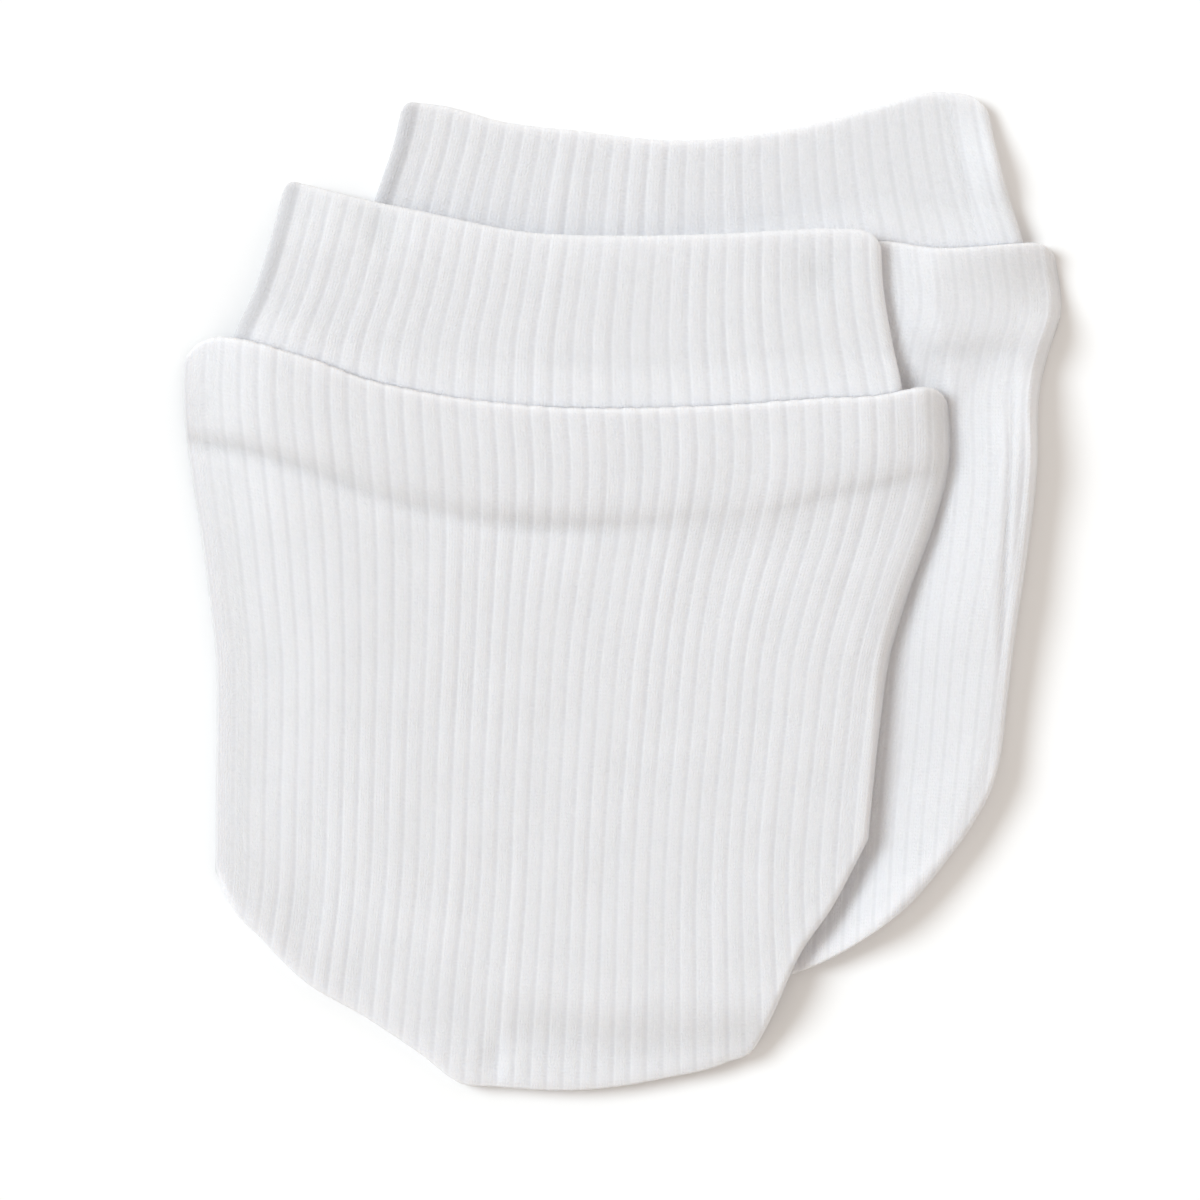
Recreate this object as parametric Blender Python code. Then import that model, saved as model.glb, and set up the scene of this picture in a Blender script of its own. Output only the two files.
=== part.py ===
"""A pair of newborn's rib-knit mittens, laid flat on a surface, one mitten over the other.

Each mitten is three pieces of cloth: the front of the hand, the back of the hand, and a doubled
cuff whose lower edge is set into the hand's mouth.  The hand puffs into a roll over the set-in
cuff, and a soft crease runs across it where the cuff ends.  The top mitten lies on the low one.

Lengths are in millimetres here and become metres when a mesh is made.  X runs across the
mittens, Y from their tips to their cuffs, Z up from the surface that they lie on.
"""
import bpy
import bmesh
import numpy as np

# Sizes of the cloth
MM = 0.001
HAND_WALL = 1.05         # the hand's knit, without its ribs
CUFF_WALL = 1.0          # the doubled knit of the cuff, pressed flat
RIB_HEIGHT = 0.3         # how far a rib stands out of the hand
CUFF_RIB_HEIGHT = 0.2
GAP = 0.32               # between pieces that touch
SLIT_INSIDE = 0.3        # between the cuff's two walls where the hand holds it
SLIT_AT_RIM = 0.5        # and at its rim
HAND_RIBS = 44           # across one hand
TOP_CUFF_RIBS = 35
LOW_CUFF_RIBS = 33
FLAT_RIB = (0.27, 0.73)  # shares of a rib's pitch where its flat crest starts and ends
PEAKED_RIB = (0.5,)      # a rib with one line of points on its crest
RIM_BAND = 1.7           # plain band at the cuff's folded rim

# Rounding of the pieces
SIDE_ROUND = 2.0         # over this distance the hand rises from its side seam
SIDE_RISE = 2.0          # about how far it rises there
LIP_ROUND = 2.0          # the hand rises from its lip over this distance
RIB_FADE = 1.6           # the ribs grow to full height over this distance from the hand's edge
SEAM_TUCK = 0.6          # how far the back's edge turns up towards the side seam
TUCK_ROUND = 2.0         # over this distance
CUFF_ROUND = 2.5         # over this distance the flattened cuff turns over at its sides
SET_IN_SHARE = 0.72      # the cuff is set into the hand as far as this share of the crease's depth
LIFT_REACH = (1.0, 6.0)  # outside the lip the cuff comes down from the hand's back between these
SLIT_REACH = (1.0, 7.0)  # and its slit opens between these
BESIDE_CUFF = (0.8, 3.0)    # beside the cuff the hand's lip drops to its back between these
PAST_CUFF = (0.8, 1.1)      # and below the lip between these shares of the crease's depth

# How the top mitten drapes over the low one
DRAPE_CELL = 1.0         # cell of the height grid that the drape is worked out on
DRAPE_EVEN = (3, 3, 2)   # reach of each evening pass, in cells
DRAPE_HALF_X = 70.0      # the grid reaches this far from the middle
DRAPE_HALF_Y = 76.0
PRESS_REACH = 6.0        # beyond the top mitten's edge the low one recovers its height in this

# Rows of points, as distances below the mouth line, and above the foot line.  Even rows lie
# between them.
HAND_ROWS = (0.0, 0.2, 0.8, 2.0, 4.2, 8.0, 10.4, 12.2, 13.6, 16.0, 19.5)
HAND_TIP_ROWS = (2.2, 0.9, 0.2, 0.0)
INSIDE_ROWS = (0.0, 0.7, 3.0, 7.0, 10.0, 12.0, 14.0, 17.0)
INSIDE_TIP_ROWS = (2.5, 0.8, 0.0)
BACK_ROWS = (0.0, 0.5, 1.8, 5.0, 10.0, 15.0)
BACK_TIP_ROWS = (4.0, 1.6, 0.5, 0.0)
HAND_EVEN_ROWS = 5
CUFF_ROWS = (0.0, 0.12, 0.5, 1.7)
CUFF_EVEN_ROWS = 8
SLIT_ROWS = (0.5, 2.0)
SLIT_EVEN_ROWS = 7
INSIDE_COLUMNS = 25

# Colours and roughness of the knit
HAND_WHITE = (0.79, 0.79, 0.80)
BACK_WHITE = (0.78, 0.78, 0.79)
CUFF_WHITE = (0.77, 0.77, 0.78)
KNIT_ROUGHNESS = 0.95


def table(columns, *rows):
    """A short table as named columns, one array for each word in columns."""
    return dict(zip(columns.split(), np.array(rows, dtype=float).T))


# Side lines: where the left and right edges are at each height.  The rows past the side
# seams' ends carry the lines on, because the ribs lean with them.
TOP_HAND_SIDES = table("y left right",
                       (-60.0, -53.8, 31.2),
                       (-48.0, -51.4, 30.2),
                       (-36.0, -49.2, 29.4),
                       (-24.0, -48.9, 30.2),
                       (-16.0, -48.8, 31.1),
                       (-8.0, -48.9, 32.2),
                       (0.0, -49.8, 34.6),
                       (8.0, -50.9, 37.5),
                       (14.0, -51.9, 39.1),
                       (24.0, -52.8, 39.1),
                       (31.0, -52.3, 38.9))
TOP_CUFF_SIDES = table("y left right",
                       (14.0, -48.8, 34.0),
                       (24.0, -48.3, 33.6),
                       (30.0, -46.8, 32.4),
                       (36.0, -44.2, 31.4),
                       (42.0, -42.3, 31.1),
                       (48.0, -40.8, 31.1))
LOW_HAND_SIDES = table("y left right",
                       (-48.0, -28.4, 43.6),
                       (-30.0, -27.9, 44.7),
                       (-20.0, -28.1, 45.8),
                       (-6.0, -29.2, 47.4),
                       (4.0, -30.4, 48.9),
                       (14.0, -32.5, 50.1),
                       (25.0, -35.0, 50.6),
                       (29.0, -35.8, 51.6),
                       (33.0, -36.3, 52.9),
                       (41.0, -36.2, 52.2))
LOW_CUFF_SIDES = table("y left right",
                       (26.0, -33.0, 49.3),
                       (36.0, -32.6, 49.0),
                       (42.0, -31.4, 48.3),
                       (48.0, -29.5, 46.4),
                       (54.0, -27.5, 44.9),
                       (58.0, -26.6, 44.2))

# Mouth lines: the hand's lip, and the cuff's folded rim.
TOP_LIP = table("x y",
                (-52.6, 31.0),
                (-46.0, 30.1),
                (-38.6, 28.1),
                (-30.2, 25.1),
                (-21.8, 23.3),
                (-12.0, 22.1),
                (0.0, 21.7),
                (12.0, 22.1),
                (24.0, 22.9),
                (31.0, 23.3),
                (35.0, 24.1),
                (39.2, 24.6))
TOP_RIM = table("x y",
                (-40.8, 49.4),
                (-32.6, 47.3),
                (-23.0, 45.2),
                (-12.0, 43.0),
                (0.0, 42.5),
                (12.0, 42.7),
                (26.2, 43.3),
                (31.2, 43.1))
LOW_LIP = table("x y",
                (-36.0, 40.2),
                (-23.0, 37.6),
                (-10.0, 36.6),
                (3.4, 37.2),
                (16.6, 39.2),
                (25.0, 41.0),
                (31.6, 42.0),
                (38.2, 41.1),
                (45.4, 41.6),
                (52.2, 42.0))
LOW_RIM = table("x y",
                (-26.6, 58.9),
                (-21.5, 58.3),
                (-15.8, 56.7),
                (-5.0, 55.3),
                (5.8, 54.2),
                (16.0, 54.9),
                (25.0, 56.6),
                (31.0, 58.3),
                (37.5, 60.0),
                (44.2, 59.5))

# Foot lines: the curved seam round the tip of each hand.
TOP_TIP = table("x y",
                (-49.2, -33.4),
                (-47.8, -36.8),
                (-43.4, -42.1),
                (-38.6, -46.9),
                (-31.4, -51.2),
                (-24.2, -56.0),
                (-19.6, -59.4),
                (-15.0, -59.9),
                (-5.0, -60.3),
                (5.5, -58.8),
                (12.5, -57.0),
                (16.2, -54.9),
                (18.0, -51.4),
                (21.0, -44.6),
                (25.5, -37.8),
                (29.3, -30.6))
LOW_TIP = table("x y",
                (-28.0, -24.6),
                (-23.6, -30.6),
                (-14.6, -39.0),
                (-3.8, -45.0),
                (8.2, -47.5),
                (17.2, -47.2),
                (23.8, -45.1),
                (29.3, -42.0),
                (35.3, -37.2),
                (39.1, -32.6),
                (42.4, -27.9),
                (44.7, -23.4),
                (45.7, -20.0))

# How far below the lip the crease runs.
TOP_CREASE = table("x depth",
                   (-52.0, 12.8),
                   (-30.0, 13.4),
                   (-6.0, 13.9),
                   (10.0, 13.3),
                   (19.0, 12.8),
                   (26.0, 11.3),
                   (38.0, 10.4))
LOW_CREASE = table("x depth",
                   (-36.0, 12.4),
                   (0.0, 12.4),
                   (52.0, 13.0))

# The hand's height down its length: share is the distance below the lip over the crease's.
# The top mitten and the low one lie free, or the low one is pressed under the other.
HAND_PROFILE = table("share top low pressed",
                     (0.0, 5.4, 5.5, 5.3),
                     (0.3, 5.7, 6.1, 5.4),
                     (0.76, 5.5, 5.9, 5.3),
                     (1.0, 3.2, 5.2, 3.5),
                     (1.25, 2.85, 5.0, 2.8),
                     (1.9, 3.0, 5.4, 2.6),
                     (3.3, 3.0, 5.4, 2.6),
                     (4.7, 3.0, 4.6, 2.6),
                     (7.0, 3.05, 4.7, 2.6))

# Soft dents and troughs: each has a middle, a half width, a half length along Y, a depth,
# and a lean of its long axis in X for each millimetre of Y.
TOP_HAND_DENTS = table("x y wide long depth lean",
                       (-15.5, -56.6, 1.5, 2.4, 0.55, 0.0),
                       (-51.0, 21.0, 3.0, 3.0, 0.4, 0.0),
                       (27.0, 2.0, 2.0, 11.0, 0.35, 0.25),
                       (41.0, 17.0, 3.8, 8.0, 2.6, 0.0))
TOP_CUFF_DENTS = table("x y wide long depth lean",
                       (-29.0, 43.2, 2.4, 3.0, 0.4, 0.0),
                       (23.8, 37.8, 2.6, 3.0, 0.35, 0.0))
LOW_HAND_DENTS = table("x y wide long depth lean",
                       (45.6, 10.0, 0.9, 14.0, 0.6, 0.015),
                       (50.0, 22.0, 4.0, 8.0, -1.0, 0.1),
                       (50.6, 26.6, 2.4, 1.6, 0.8, 0.0),
                       (53.5, 33.0, 3.9, 7.0, 3.0, 0.0))
LOW_CUFF_DENTS = table("x y wide long depth lean",
                       (41.2, 49.0, 0.8, 6.5, 0.4, -0.27),
                       (45.0, 53.0, 3.0, 6.0, -1.2, -0.2))

# Radii of the mouth line's left and right corners, for each outline.
TOP_HAND_CORNERS = (5.0, 3.2)
TOP_CUFF_CORNERS = (1.4, 2.4)
LOW_HAND_CORNERS = (3.0, 3.0)
LOW_CUFF_CORNERS = (1.2, 3.0)


# ---------------------------------------------------------------- curves and profiles

def smooth(rows, along, name, at):
    """The column `name` as a smooth curve over the column `along`, carried on straight past
    both ends."""
    place = rows[along]
    value = rows[name]
    slope = np.gradient(value, place)
    step = np.clip(np.searchsorted(place, at) - 1, 0, len(place) - 2)
    width = place[step + 1] - place[step]
    part = (at - place[step]) / width
    t = np.clip(part, 0.0, 1.0)
    curve = (1.0 + 2.0 * t) * (1.0 - t) ** 2 * value[step]
    curve = curve + t * t * (3.0 - 2.0 * t) * value[step + 1]
    curve = curve + t * (1.0 - t) ** 2 * width * slope[step]
    curve = curve - t * t * (1.0 - t) * width * slope[step + 1]
    beyond = np.where(part > 1.0, slope[step + 1], slope[step])
    return curve + (part - t) * width * beyond


def ramp(low, high, at):
    """0 below low, 1 above high, and a soft step between them."""
    t = np.clip((at - low) / (high - low), 0.0, 1.0)
    return t * t * (3.0 - 2.0 * t)


def quarter_round(distance, radius):
    """Height of a quarter circle over the distance from its foot, as a share of its radius."""
    t = 1.0 - np.clip(distance / radius, 0.0, 1.0)
    return np.sqrt(1.0 - t * t)


def corner_drop(distance, radius):
    """How far a rounded corner falls below its line, at a distance from its side."""
    radius = max(radius, 0.5)
    return radius * (1.0 - quarter_round(np.clip(distance, 0.0, None), radius))


def dent_depth(dents, x, y):
    """How far all the dents of a table push the cloth down at each point."""
    total = np.zeros_like(x)
    for row in range(len(dents["x"])):
        down = y - dents["y"][row]
        over = x - dents["x"][row] - dents["lean"][row] * down
        bell = np.exp(-(over / dents["wide"][row]) ** 2 - (down / dents["long"][row]) ** 2)
        total = total + dents["depth"][row] * bell
    return total


class Outline:
    """A piece seen from above: two side lines over y, a mouth line and a foot line over x."""

    def __init__(self, sides, mouth_line, foot_line, corner_rounds):
        self.sides = sides
        self.mouth_line = mouth_line
        self.foot_line = foot_line
        self.corner_rounds = corner_rounds

    def left(self, y, inset=0.0):
        return smooth(self.sides, "y", "left", y) + inset

    def right(self, y, inset=0.0):
        return smooth(self.sides, "y", "right", y) - inset

    def mouth(self, x, inset=0.0):
        """The mouth line, with its two corners rounded."""
        line = self.mouth_line(x)
        left_radius, right_radius = self.corner_rounds
        left_drop = corner_drop(x - self.left(line - left_radius, inset), left_radius - inset)
        right_drop = corner_drop(self.right(line - right_radius, inset) - x, right_radius - inset)
        return line - inset - left_drop - right_drop

    def foot(self, x, inset=0.0):
        slope = (self.foot_line(x + 0.05) - self.foot_line(x - 0.05)) / 0.1
        return self.foot_line(x) + inset * np.sqrt(1.0 + slope ** 2)

    def place(self, across, rows, inset=0.0):
        """Plan points: `across` runs 0 to 1 from the left line to the right one.  Each row is a
        fixed distance below the mouth, and a share of the length that the fixed rows leave."""
        below, share = rows
        across, below = np.meshgrid(across, below)
        share = share[:, None]
        x = self.left(0.0) * (1.0 - across) + self.right(0.0) * across
        for _ in range(24):
            top = self.mouth(x, inset)
            free = top - self.foot(x, inset) - below[-1]
            y = top - below - share * free
            x = 0.5 * x + 0.5 * (self.left(y, inset) * (1.0 - across)
                                 + self.right(y, inset) * across)
        return x, y

    def depths(self, x, y):
        """Distance of each point from the left, right, foot and mouth lines, inwards."""
        step = 0.05
        mouth_slope = (self.mouth_line(x + step) - self.mouth_line(x - step)) / (2.0 * step)
        foot_slope = (self.foot(x + step) - self.foot(x - step)) / (2.0 * step)
        to_mouth = (self.mouth(x) - y) / np.sqrt(1.0 + mouth_slope ** 2)
        to_foot = (y - self.foot(x)) / np.sqrt(1.0 + foot_slope ** 2)
        return x - self.left(y), self.right(y) - x, to_foot, to_mouth

    def depth(self, x, y):
        return np.minimum.reduce(self.depths(x, y))


# ---------------------------------------------------------------- the mitten's form

class Mitten:
    """The heights of one mitten's cloth at any point of its plan.  `free` names its column of
    the profile, `bed` gives the height of what it lies on, and `pressed` is 1 where the other
    mitten presses it flat."""

    def __init__(self, hand, cuff, crease, free, hand_dents, cuff_dents, bed, pressed):
        self.hand = hand
        self.cuff = cuff
        self.crease = crease
        self.free = free
        self.hand_dents = hand_dents
        self.cuff_dents = cuff_dents
        self.bed = bed
        self.pressed = pressed

    def past_lip(self, x, y):
        """Distance below the lip as a share of the crease's depth, and outside it in length."""
        below = self.hand.mouth_line(x) - y
        return below / smooth(self.crease, "x", "depth", x), -below

    def crown(self, x, y):
        """Height of the hand's outside over its bed, away from its edges."""
        share = np.clip(self.past_lip(x, y)[0], 0.0, None)
        free = smooth(HAND_PROFILE, "share", self.free, share)
        flat = smooth(HAND_PROFILE, "share", "pressed", share)
        height = free + (flat - free) * self.pressed(x, y)
        return height - dent_depth(self.hand_dents, x, y)

    def over_cuff(self, x, y):
        """1 where the hand's edge lies on the cuff, 0 where it lies on the hand's back."""
        beside = np.maximum(self.cuff.left(y) - x, x - self.cuff.right(y))
        share = self.past_lip(x, y)[0]
        return (1.0 - ramp(*BESIDE_CUFF, beside)) * (1.0 - ramp(*PAST_CUFF, share))

    def hand_front(self, x, y, inset=0.0):
        """The hand's upper wall: its outside, or with an inset its inside.  It rises from where
        its edge rests, in a quarter round from the seams and in a tighter one from the lip."""
        bed = self.bed(x, y)
        cuff_height = 2.0 * CUFF_WALL + SLIT_INSIDE + CUFF_RIB_HEIGHT + GAP
        seat = bed + HAND_WALL + GAP + cuff_height * self.over_cuff(x, y)
        left, right, foot, mouth = self.hand.depths(x, y)
        rise = quarter_round(left - inset, SIDE_ROUND - inset)
        rise = rise * quarter_round(right - inset, SIDE_ROUND - inset)
        rise = rise * quarter_round(foot - inset, SIDE_ROUND - inset)
        rise = rise * quarter_round(mouth - inset, LIP_ROUND - inset)
        return seat + (bed + self.crown(x, y) - inset - seat) * rise

    def hand_back(self, x, y):
        """The hand's lower wall: its underside, which turns up to the seam, and its inside."""
        bed = self.bed(x, y)
        turn = 1.0 - quarter_round(self.hand.depth(x, y), TUCK_ROUND)
        return bed + SEAM_TUCK * turn, bed + HAND_WALL

    def cuff_wall(self, x, y, side_depth, share):
        """Both walls of the flattened cuff: share is 1 on the outside, 0 on the inside and 0.5
        in the middle of the knit.  Inside the hand the cuff lies on the hand's back."""
        outside = self.past_lip(x, y)[1]
        lift = (HAND_WALL + GAP) * (1.0 - ramp(*LIFT_REACH, outside))
        slit = SLIT_INSIDE + (SLIT_AT_RIM - SLIT_INSIDE) * ramp(*SLIT_REACH, outside)
        middle = self.bed(x, y) + lift + CUFF_WALL + slit / 2.0
        half = slit / 2.0 + share * CUFF_WALL
        turn = CUFF_ROUND - (1.0 - share) * CUFF_WALL
        bulge = half * quarter_round(side_depth, turn)
        dent = np.where(share > 0.5, dent_depth(self.cuff_dents, x, y), 0.0)
        return middle + bulge - dent, middle - bulge


def nowhere(x, y):
    return np.zeros_like(x)


def everywhere(x, y):
    return np.ones_like(x)


def shifted_copies(grid, reach, axis):
    """The grid moved by every whole step up to the reach, both ways along one axis."""
    return [np.roll(grid, step, axis) for step in range(-reach, reach + 1)]


def draped_bed(low):
    """The bed of the top mitten: the low one's height on a grid, spread outwards by its own
    reach and then evened over that same reach, so that the bed never dips below it."""
    xs = np.arange(-DRAPE_HALF_X, DRAPE_HALF_X + DRAPE_CELL, DRAPE_CELL)
    ys = np.arange(-DRAPE_HALF_Y, DRAPE_HALF_Y + DRAPE_CELL, DRAPE_CELL)
    x, y = np.meshgrid(xs, ys)
    hand = low.hand_front(x, y) + RIB_HEIGHT
    side = np.minimum(x - low.cuff.left(y), low.cuff.right(y) - x)
    cuff = low.cuff_wall(x, y, side, 1.0)[0] + CUFF_RIB_HEIGHT
    height = np.maximum(np.where(low.hand.depth(x, y) > 0.0, hand, -GAP),
                        np.where(low.cuff.depth(x, y) > 0.0, cuff, -GAP)) + GAP
    for axis in (0, 1):
        height = np.maximum.reduce(shifted_copies(height, sum(DRAPE_EVEN), axis))
    for reach in DRAPE_EVEN:
        for axis in (0, 1):
            height = np.mean(shifted_copies(height, reach, axis), axis=0)

    def bed(x, y):
        column = np.clip((x + DRAPE_HALF_X) / DRAPE_CELL, 0, len(xs) - 2)
        row = np.clip((y + DRAPE_HALF_Y) / DRAPE_CELL, 0, len(ys) - 2)
        i = np.floor(column).astype(int)
        j = np.floor(row).astype(int)
        u = column - i
        v = row - j
        near = height[j, i] * (1.0 - u) + height[j, i + 1] * u
        far = height[j + 1, i] * (1.0 - u) + height[j + 1, i + 1] * u
        return near * (1.0 - v) + far * v

    return bed


# ---------------------------------------------------------------- rows and columns

def rows_down(near_mouth, between, near_foot):
    """Rows at fixed distances below the mouth, then even ones, then some close to the foot."""
    below = list(near_mouth)
    share = [0.0] * len(near_mouth)
    for step in range(1, between + 1):
        below.append(near_mouth[-1])
        share.append(step / between)
    for distance in near_foot[1:]:
        below.append(near_mouth[-1] + near_foot[0] - distance)
        share.append(1.0)
    return np.array(below), np.array(share)


def even_steps(width, radius, height):
    """A function that turns equal steps along a section's cloth into places across its plan:
    they draw together where the cloth turns down at both sides."""
    across = np.linspace(0.0, 1.0, 2001)
    rise = height * quarter_round(np.minimum(across, 1.0 - across) * width, radius)
    length = np.hypot(np.diff(across) * width, np.diff(rise))
    length = np.concatenate(([0.0], np.cumsum(length)))
    return lambda step: np.interp(step, length / length[-1], across)


def rib_columns(ribs, shoulders, first=0):
    """Places along a section for its ribs from number `first` on, and how high each stands:
    0 in the groove and 1 at the rib's shoulders, given as shares of its pitch.  Before the
    first rib the cloth is plain, with a column for every third rib."""
    parts = (0.0,) + shoulders
    place = [(rib + part) / ribs for rib in range(first, ribs) for part in parts]
    stand = [float(part > 0.0) for rib in range(first, ribs) for part in parts]
    plain = [rib / ribs for rib in range(0, first, 3)]
    return np.array(plain + place + [1.0]), np.array([0.0] * len(plain) + stand + [0.0])


# ---------------------------------------------------------------- meshes

class Skin:
    """Points and faces of one closed solid while it is put together."""

    def __init__(self):
        self.points = np.zeros((0, 3))
        self.faces = []

    def add(self, x, y, z):
        """Add a grid of points and give back their numbers on the same grid."""
        first = len(self.points)
        grid = np.stack([x, y, z], axis=-1).reshape(-1, 3)
        self.points = np.vstack([self.points, grid])
        return np.arange(first, first + len(grid)).reshape(np.shape(x))

    def sheet(self, grid):
        """Faces between neighbouring rows and columns of a grid."""
        corners = np.stack([grid[:-1, :-1], grid[:-1, 1:], grid[1:, 1:], grid[1:, :-1]], axis=-1)
        self.faces += corners.reshape(-1, 4).tolist()

    def zip(self, one, other):
        """Triangles between two edges with their own numbers of points, which start and end
        beside each other: each next triangle uses up the edge that lags behind."""
        steps = []
        for chain in (one, other):
            length = np.linalg.norm(np.diff(self.points[chain], axis=0), axis=1)
            steps.append(np.concatenate(([0.0], np.cumsum(length))) / length.sum())
        i, j = 0, 0
        while i < len(one) - 1 or j < len(other) - 1:
            if j == len(other) - 1 or (i < len(one) - 1 and steps[0][i + 1] <= steps[1][j + 1]):
                self.faces.append([int(one[i]), int(one[i + 1]), int(other[j])])
                i += 1
            else:
                self.faces.append([int(other[j]), int(one[i]), int(other[j + 1])])
                j += 1

    def make(self, name, color):
        """The finished object, with its faces pointing out and its own material."""
        mesh = bpy.data.meshes.new(name)
        mesh.from_pydata((self.points * MM).tolist(), [], self.faces)
        work = bmesh.new()
        work.from_mesh(mesh)
        bmesh.ops.recalc_face_normals(work, faces=work.faces)
        work.to_mesh(mesh)
        work.free()
        mesh.shade_smooth()
        material = bpy.data.materials.new(name + "_knit")
        material.use_nodes = True
        shader = material.node_tree.nodes["Principled BSDF"]
        shader.inputs["Base Color"].default_value = (*color, 1.0)
        shader.inputs["Roughness"].default_value = KNIT_ROUGHNESS
        shader.inputs["Metallic"].default_value = 0.0
        mesh.materials.append(material)
        item = bpy.data.objects.new(name, mesh)
        bpy.context.scene.collection.objects.link(item)


def edges_of(grid):
    """The four edges of a grid of points, in order round it."""
    return grid[0, :], grid[:, -1], grid[-1, ::-1], grid[::-1, 0]


def make_hand_front(name, mitten, first_rib):
    """The hand's upper wall, with its ribs raised over a plain inside."""
    skin = Skin()
    steps, stand = rib_columns(HAND_RIBS, FLAT_RIB, first_rib)
    spread = even_steps(mitten.hand.right(0.0) - mitten.hand.left(0.0), SIDE_ROUND, SIDE_RISE)
    rows = rows_down(HAND_ROWS, HAND_EVEN_ROWS, HAND_TIP_ROWS)
    x, y = mitten.hand.place(spread(steps), rows)
    rib = RIB_HEIGHT * stand * ramp(0.0, RIB_FADE, mitten.hand.depth(x, y))
    outside = skin.add(x, y, mitten.hand_front(x, y) + rib)
    skin.sheet(outside)
    rows = rows_down(INSIDE_ROWS, HAND_EVEN_ROWS, INSIDE_TIP_ROWS)
    x, y = mitten.hand.place(spread(np.linspace(0.0, 1.0, INSIDE_COLUMNS)), rows, HAND_WALL)
    inside = skin.add(x, y, mitten.hand_front(x, y, HAND_WALL))
    skin.sheet(inside)
    for one, other in zip(edges_of(outside), edges_of(inside)):
        skin.zip(one, other)
    skin.make(name, HAND_WHITE)


def make_hand_back(name, mitten, columns):
    """The hand's lower wall, plain on both sides."""
    skin = Skin()
    spread = even_steps(mitten.hand.right(0.0) - mitten.hand.left(0.0), TUCK_ROUND, SIDE_RISE)
    rows = rows_down(BACK_ROWS, HAND_EVEN_ROWS, BACK_TIP_ROWS)
    x, y = mitten.hand.place(spread(np.linspace(0.0, 1.0, columns)), rows)
    under, over = mitten.hand_back(x, y)
    under = skin.add(x, y, under)
    over = skin.add(x, y, over)
    skin.sheet(under)
    skin.sheet(over)
    for one, other in zip(edges_of(under), edges_of(over)):
        skin.zip(one, other)
    skin.make(name, BACK_WHITE)


def cuff_rings(skin, mitten, rows, front, stand, back, share):
    """Closed rings round the cuff, from its rim down: over the front from left to right, and
    back underneath.  `share` has one value a row, as Mitten.cuff_wall reads it."""
    across = np.concatenate([front, back[::-1][1:-1]])
    x, y = mitten.cuff.place(across, rows)
    share = np.broadcast_to(share[:, None], x.shape)
    inset = (1.0 - share) * CUFF_WALL
    x = x + inset * (1.0 - 2.0 * across)
    side = np.minimum(x - mitten.cuff.left(y), mitten.cuff.right(y) - x) - inset
    over, under = mitten.cuff_wall(x, y, np.clip(side, 0.0, None), share)
    rib = np.zeros(len(across))
    rib[:len(front)] = stand
    below_rim = (mitten.cuff.mouth(x) - y) * (share > 0.5)
    fade = ramp(0.0, RIM_BAND, below_rim) * ramp(0.0, CUFF_ROUND / 2.0, side)
    is_front = np.arange(len(across)) < len(front)
    ring = skin.add(x, y, np.where(is_front, over + CUFF_RIB_HEIGHT * rib * fade, under))
    return np.hstack([ring, ring[:, :1]])


def make_cuff(name, mitten, ribs, shoulders, columns):
    """The doubled cuff: a flattened tube with a folded rim, open at both ends.  Its back and
    its inside are plain, with as many columns as what it lies on needs."""
    skin = Skin()
    width = mitten.cuff.right(0.0) - mitten.cuff.left(0.0)
    spread = even_steps(width, CUFF_ROUND, CUFF_WALL)
    steps, stand = rib_columns(ribs, shoulders)
    plain = spread(np.linspace(0.0, 1.0, columns))
    rows = rows_down(CUFF_ROWS, CUFF_EVEN_ROWS, ())
    fold = 0.5 * quarter_round(rows[0], CUFF_WALL / 2.0)
    outside = cuff_rings(skin, mitten, rows, spread(steps), stand, plain, 0.5 + fold)
    skin.sheet(outside)
    rows = rows_down(SLIT_ROWS, SLIT_EVEN_ROWS, ())
    inner_wall = np.zeros(len(rows[0]))
    inside = cuff_rings(skin, mitten, rows, plain, np.zeros(columns), plain, inner_wall)
    skin.sheet(inside)
    skin.zip(outside[0], inside[0])
    skin.zip(outside[-1], inside[-1])
    skin.make(name, CUFF_WHITE)


# ---------------------------------------------------------------- the pair

def line(rows):
    return lambda x: smooth(rows, "x", "y", x)


def set_in_end(lip, crease):
    """The line where the cuff ends inside the hand, just short of the crease."""
    return lambda x: smooth(lip, "x", "y", x) - SET_IN_SHARE * smooth(crease, "x", "depth", x)


def clear_scene():
    for item in list(bpy.data.objects):
        bpy.data.objects.remove(item)


def build():
    clear_scene()
    top_hand = Outline(TOP_HAND_SIDES, line(TOP_LIP), line(TOP_TIP), TOP_HAND_CORNERS)
    low_hand = Outline(LOW_HAND_SIDES, line(LOW_LIP), line(LOW_TIP), LOW_HAND_CORNERS)
    top_cuff = Outline(TOP_CUFF_SIDES, line(TOP_RIM), set_in_end(TOP_LIP, TOP_CREASE),
                       TOP_CUFF_CORNERS)
    low_cuff = Outline(LOW_CUFF_SIDES, line(LOW_RIM), set_in_end(LOW_LIP, LOW_CREASE),
                       LOW_CUFF_CORNERS)

    def under_top(x, y):
        inside = np.maximum(top_hand.depth(x, y), top_cuff.depth(x, y))
        return ramp(-PRESS_REACH, 0.0, inside)

    low = Mitten(low_hand, low_cuff, LOW_CREASE, "low", LOW_HAND_DENTS, LOW_CUFF_DENTS,
                 nowhere, under_top)
    flattened = Mitten(low_hand, low_cuff, LOW_CREASE, "low", LOW_HAND_DENTS, LOW_CUFF_DENTS,
                       nowhere, everywhere)
    top = Mitten(top_hand, top_cuff, TOP_CREASE, "top", TOP_HAND_DENTS, TOP_CUFF_DENTS,
                 draped_bed(flattened), nowhere)
    make_hand_back("low_hand_back", low, columns=15)
    make_cuff("low_cuff", low, LOW_CUFF_RIBS, PEAKED_RIB, columns=13)
    make_hand_front("low_hand_front", low, first_rib=29)
    make_hand_back("top_hand_back", top, columns=23)
    make_cuff("top_cuff", top, TOP_CUFF_RIBS, FLAT_RIB, columns=27)
    make_hand_front("top_hand_front", top, first_rib=0)


build()
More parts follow.
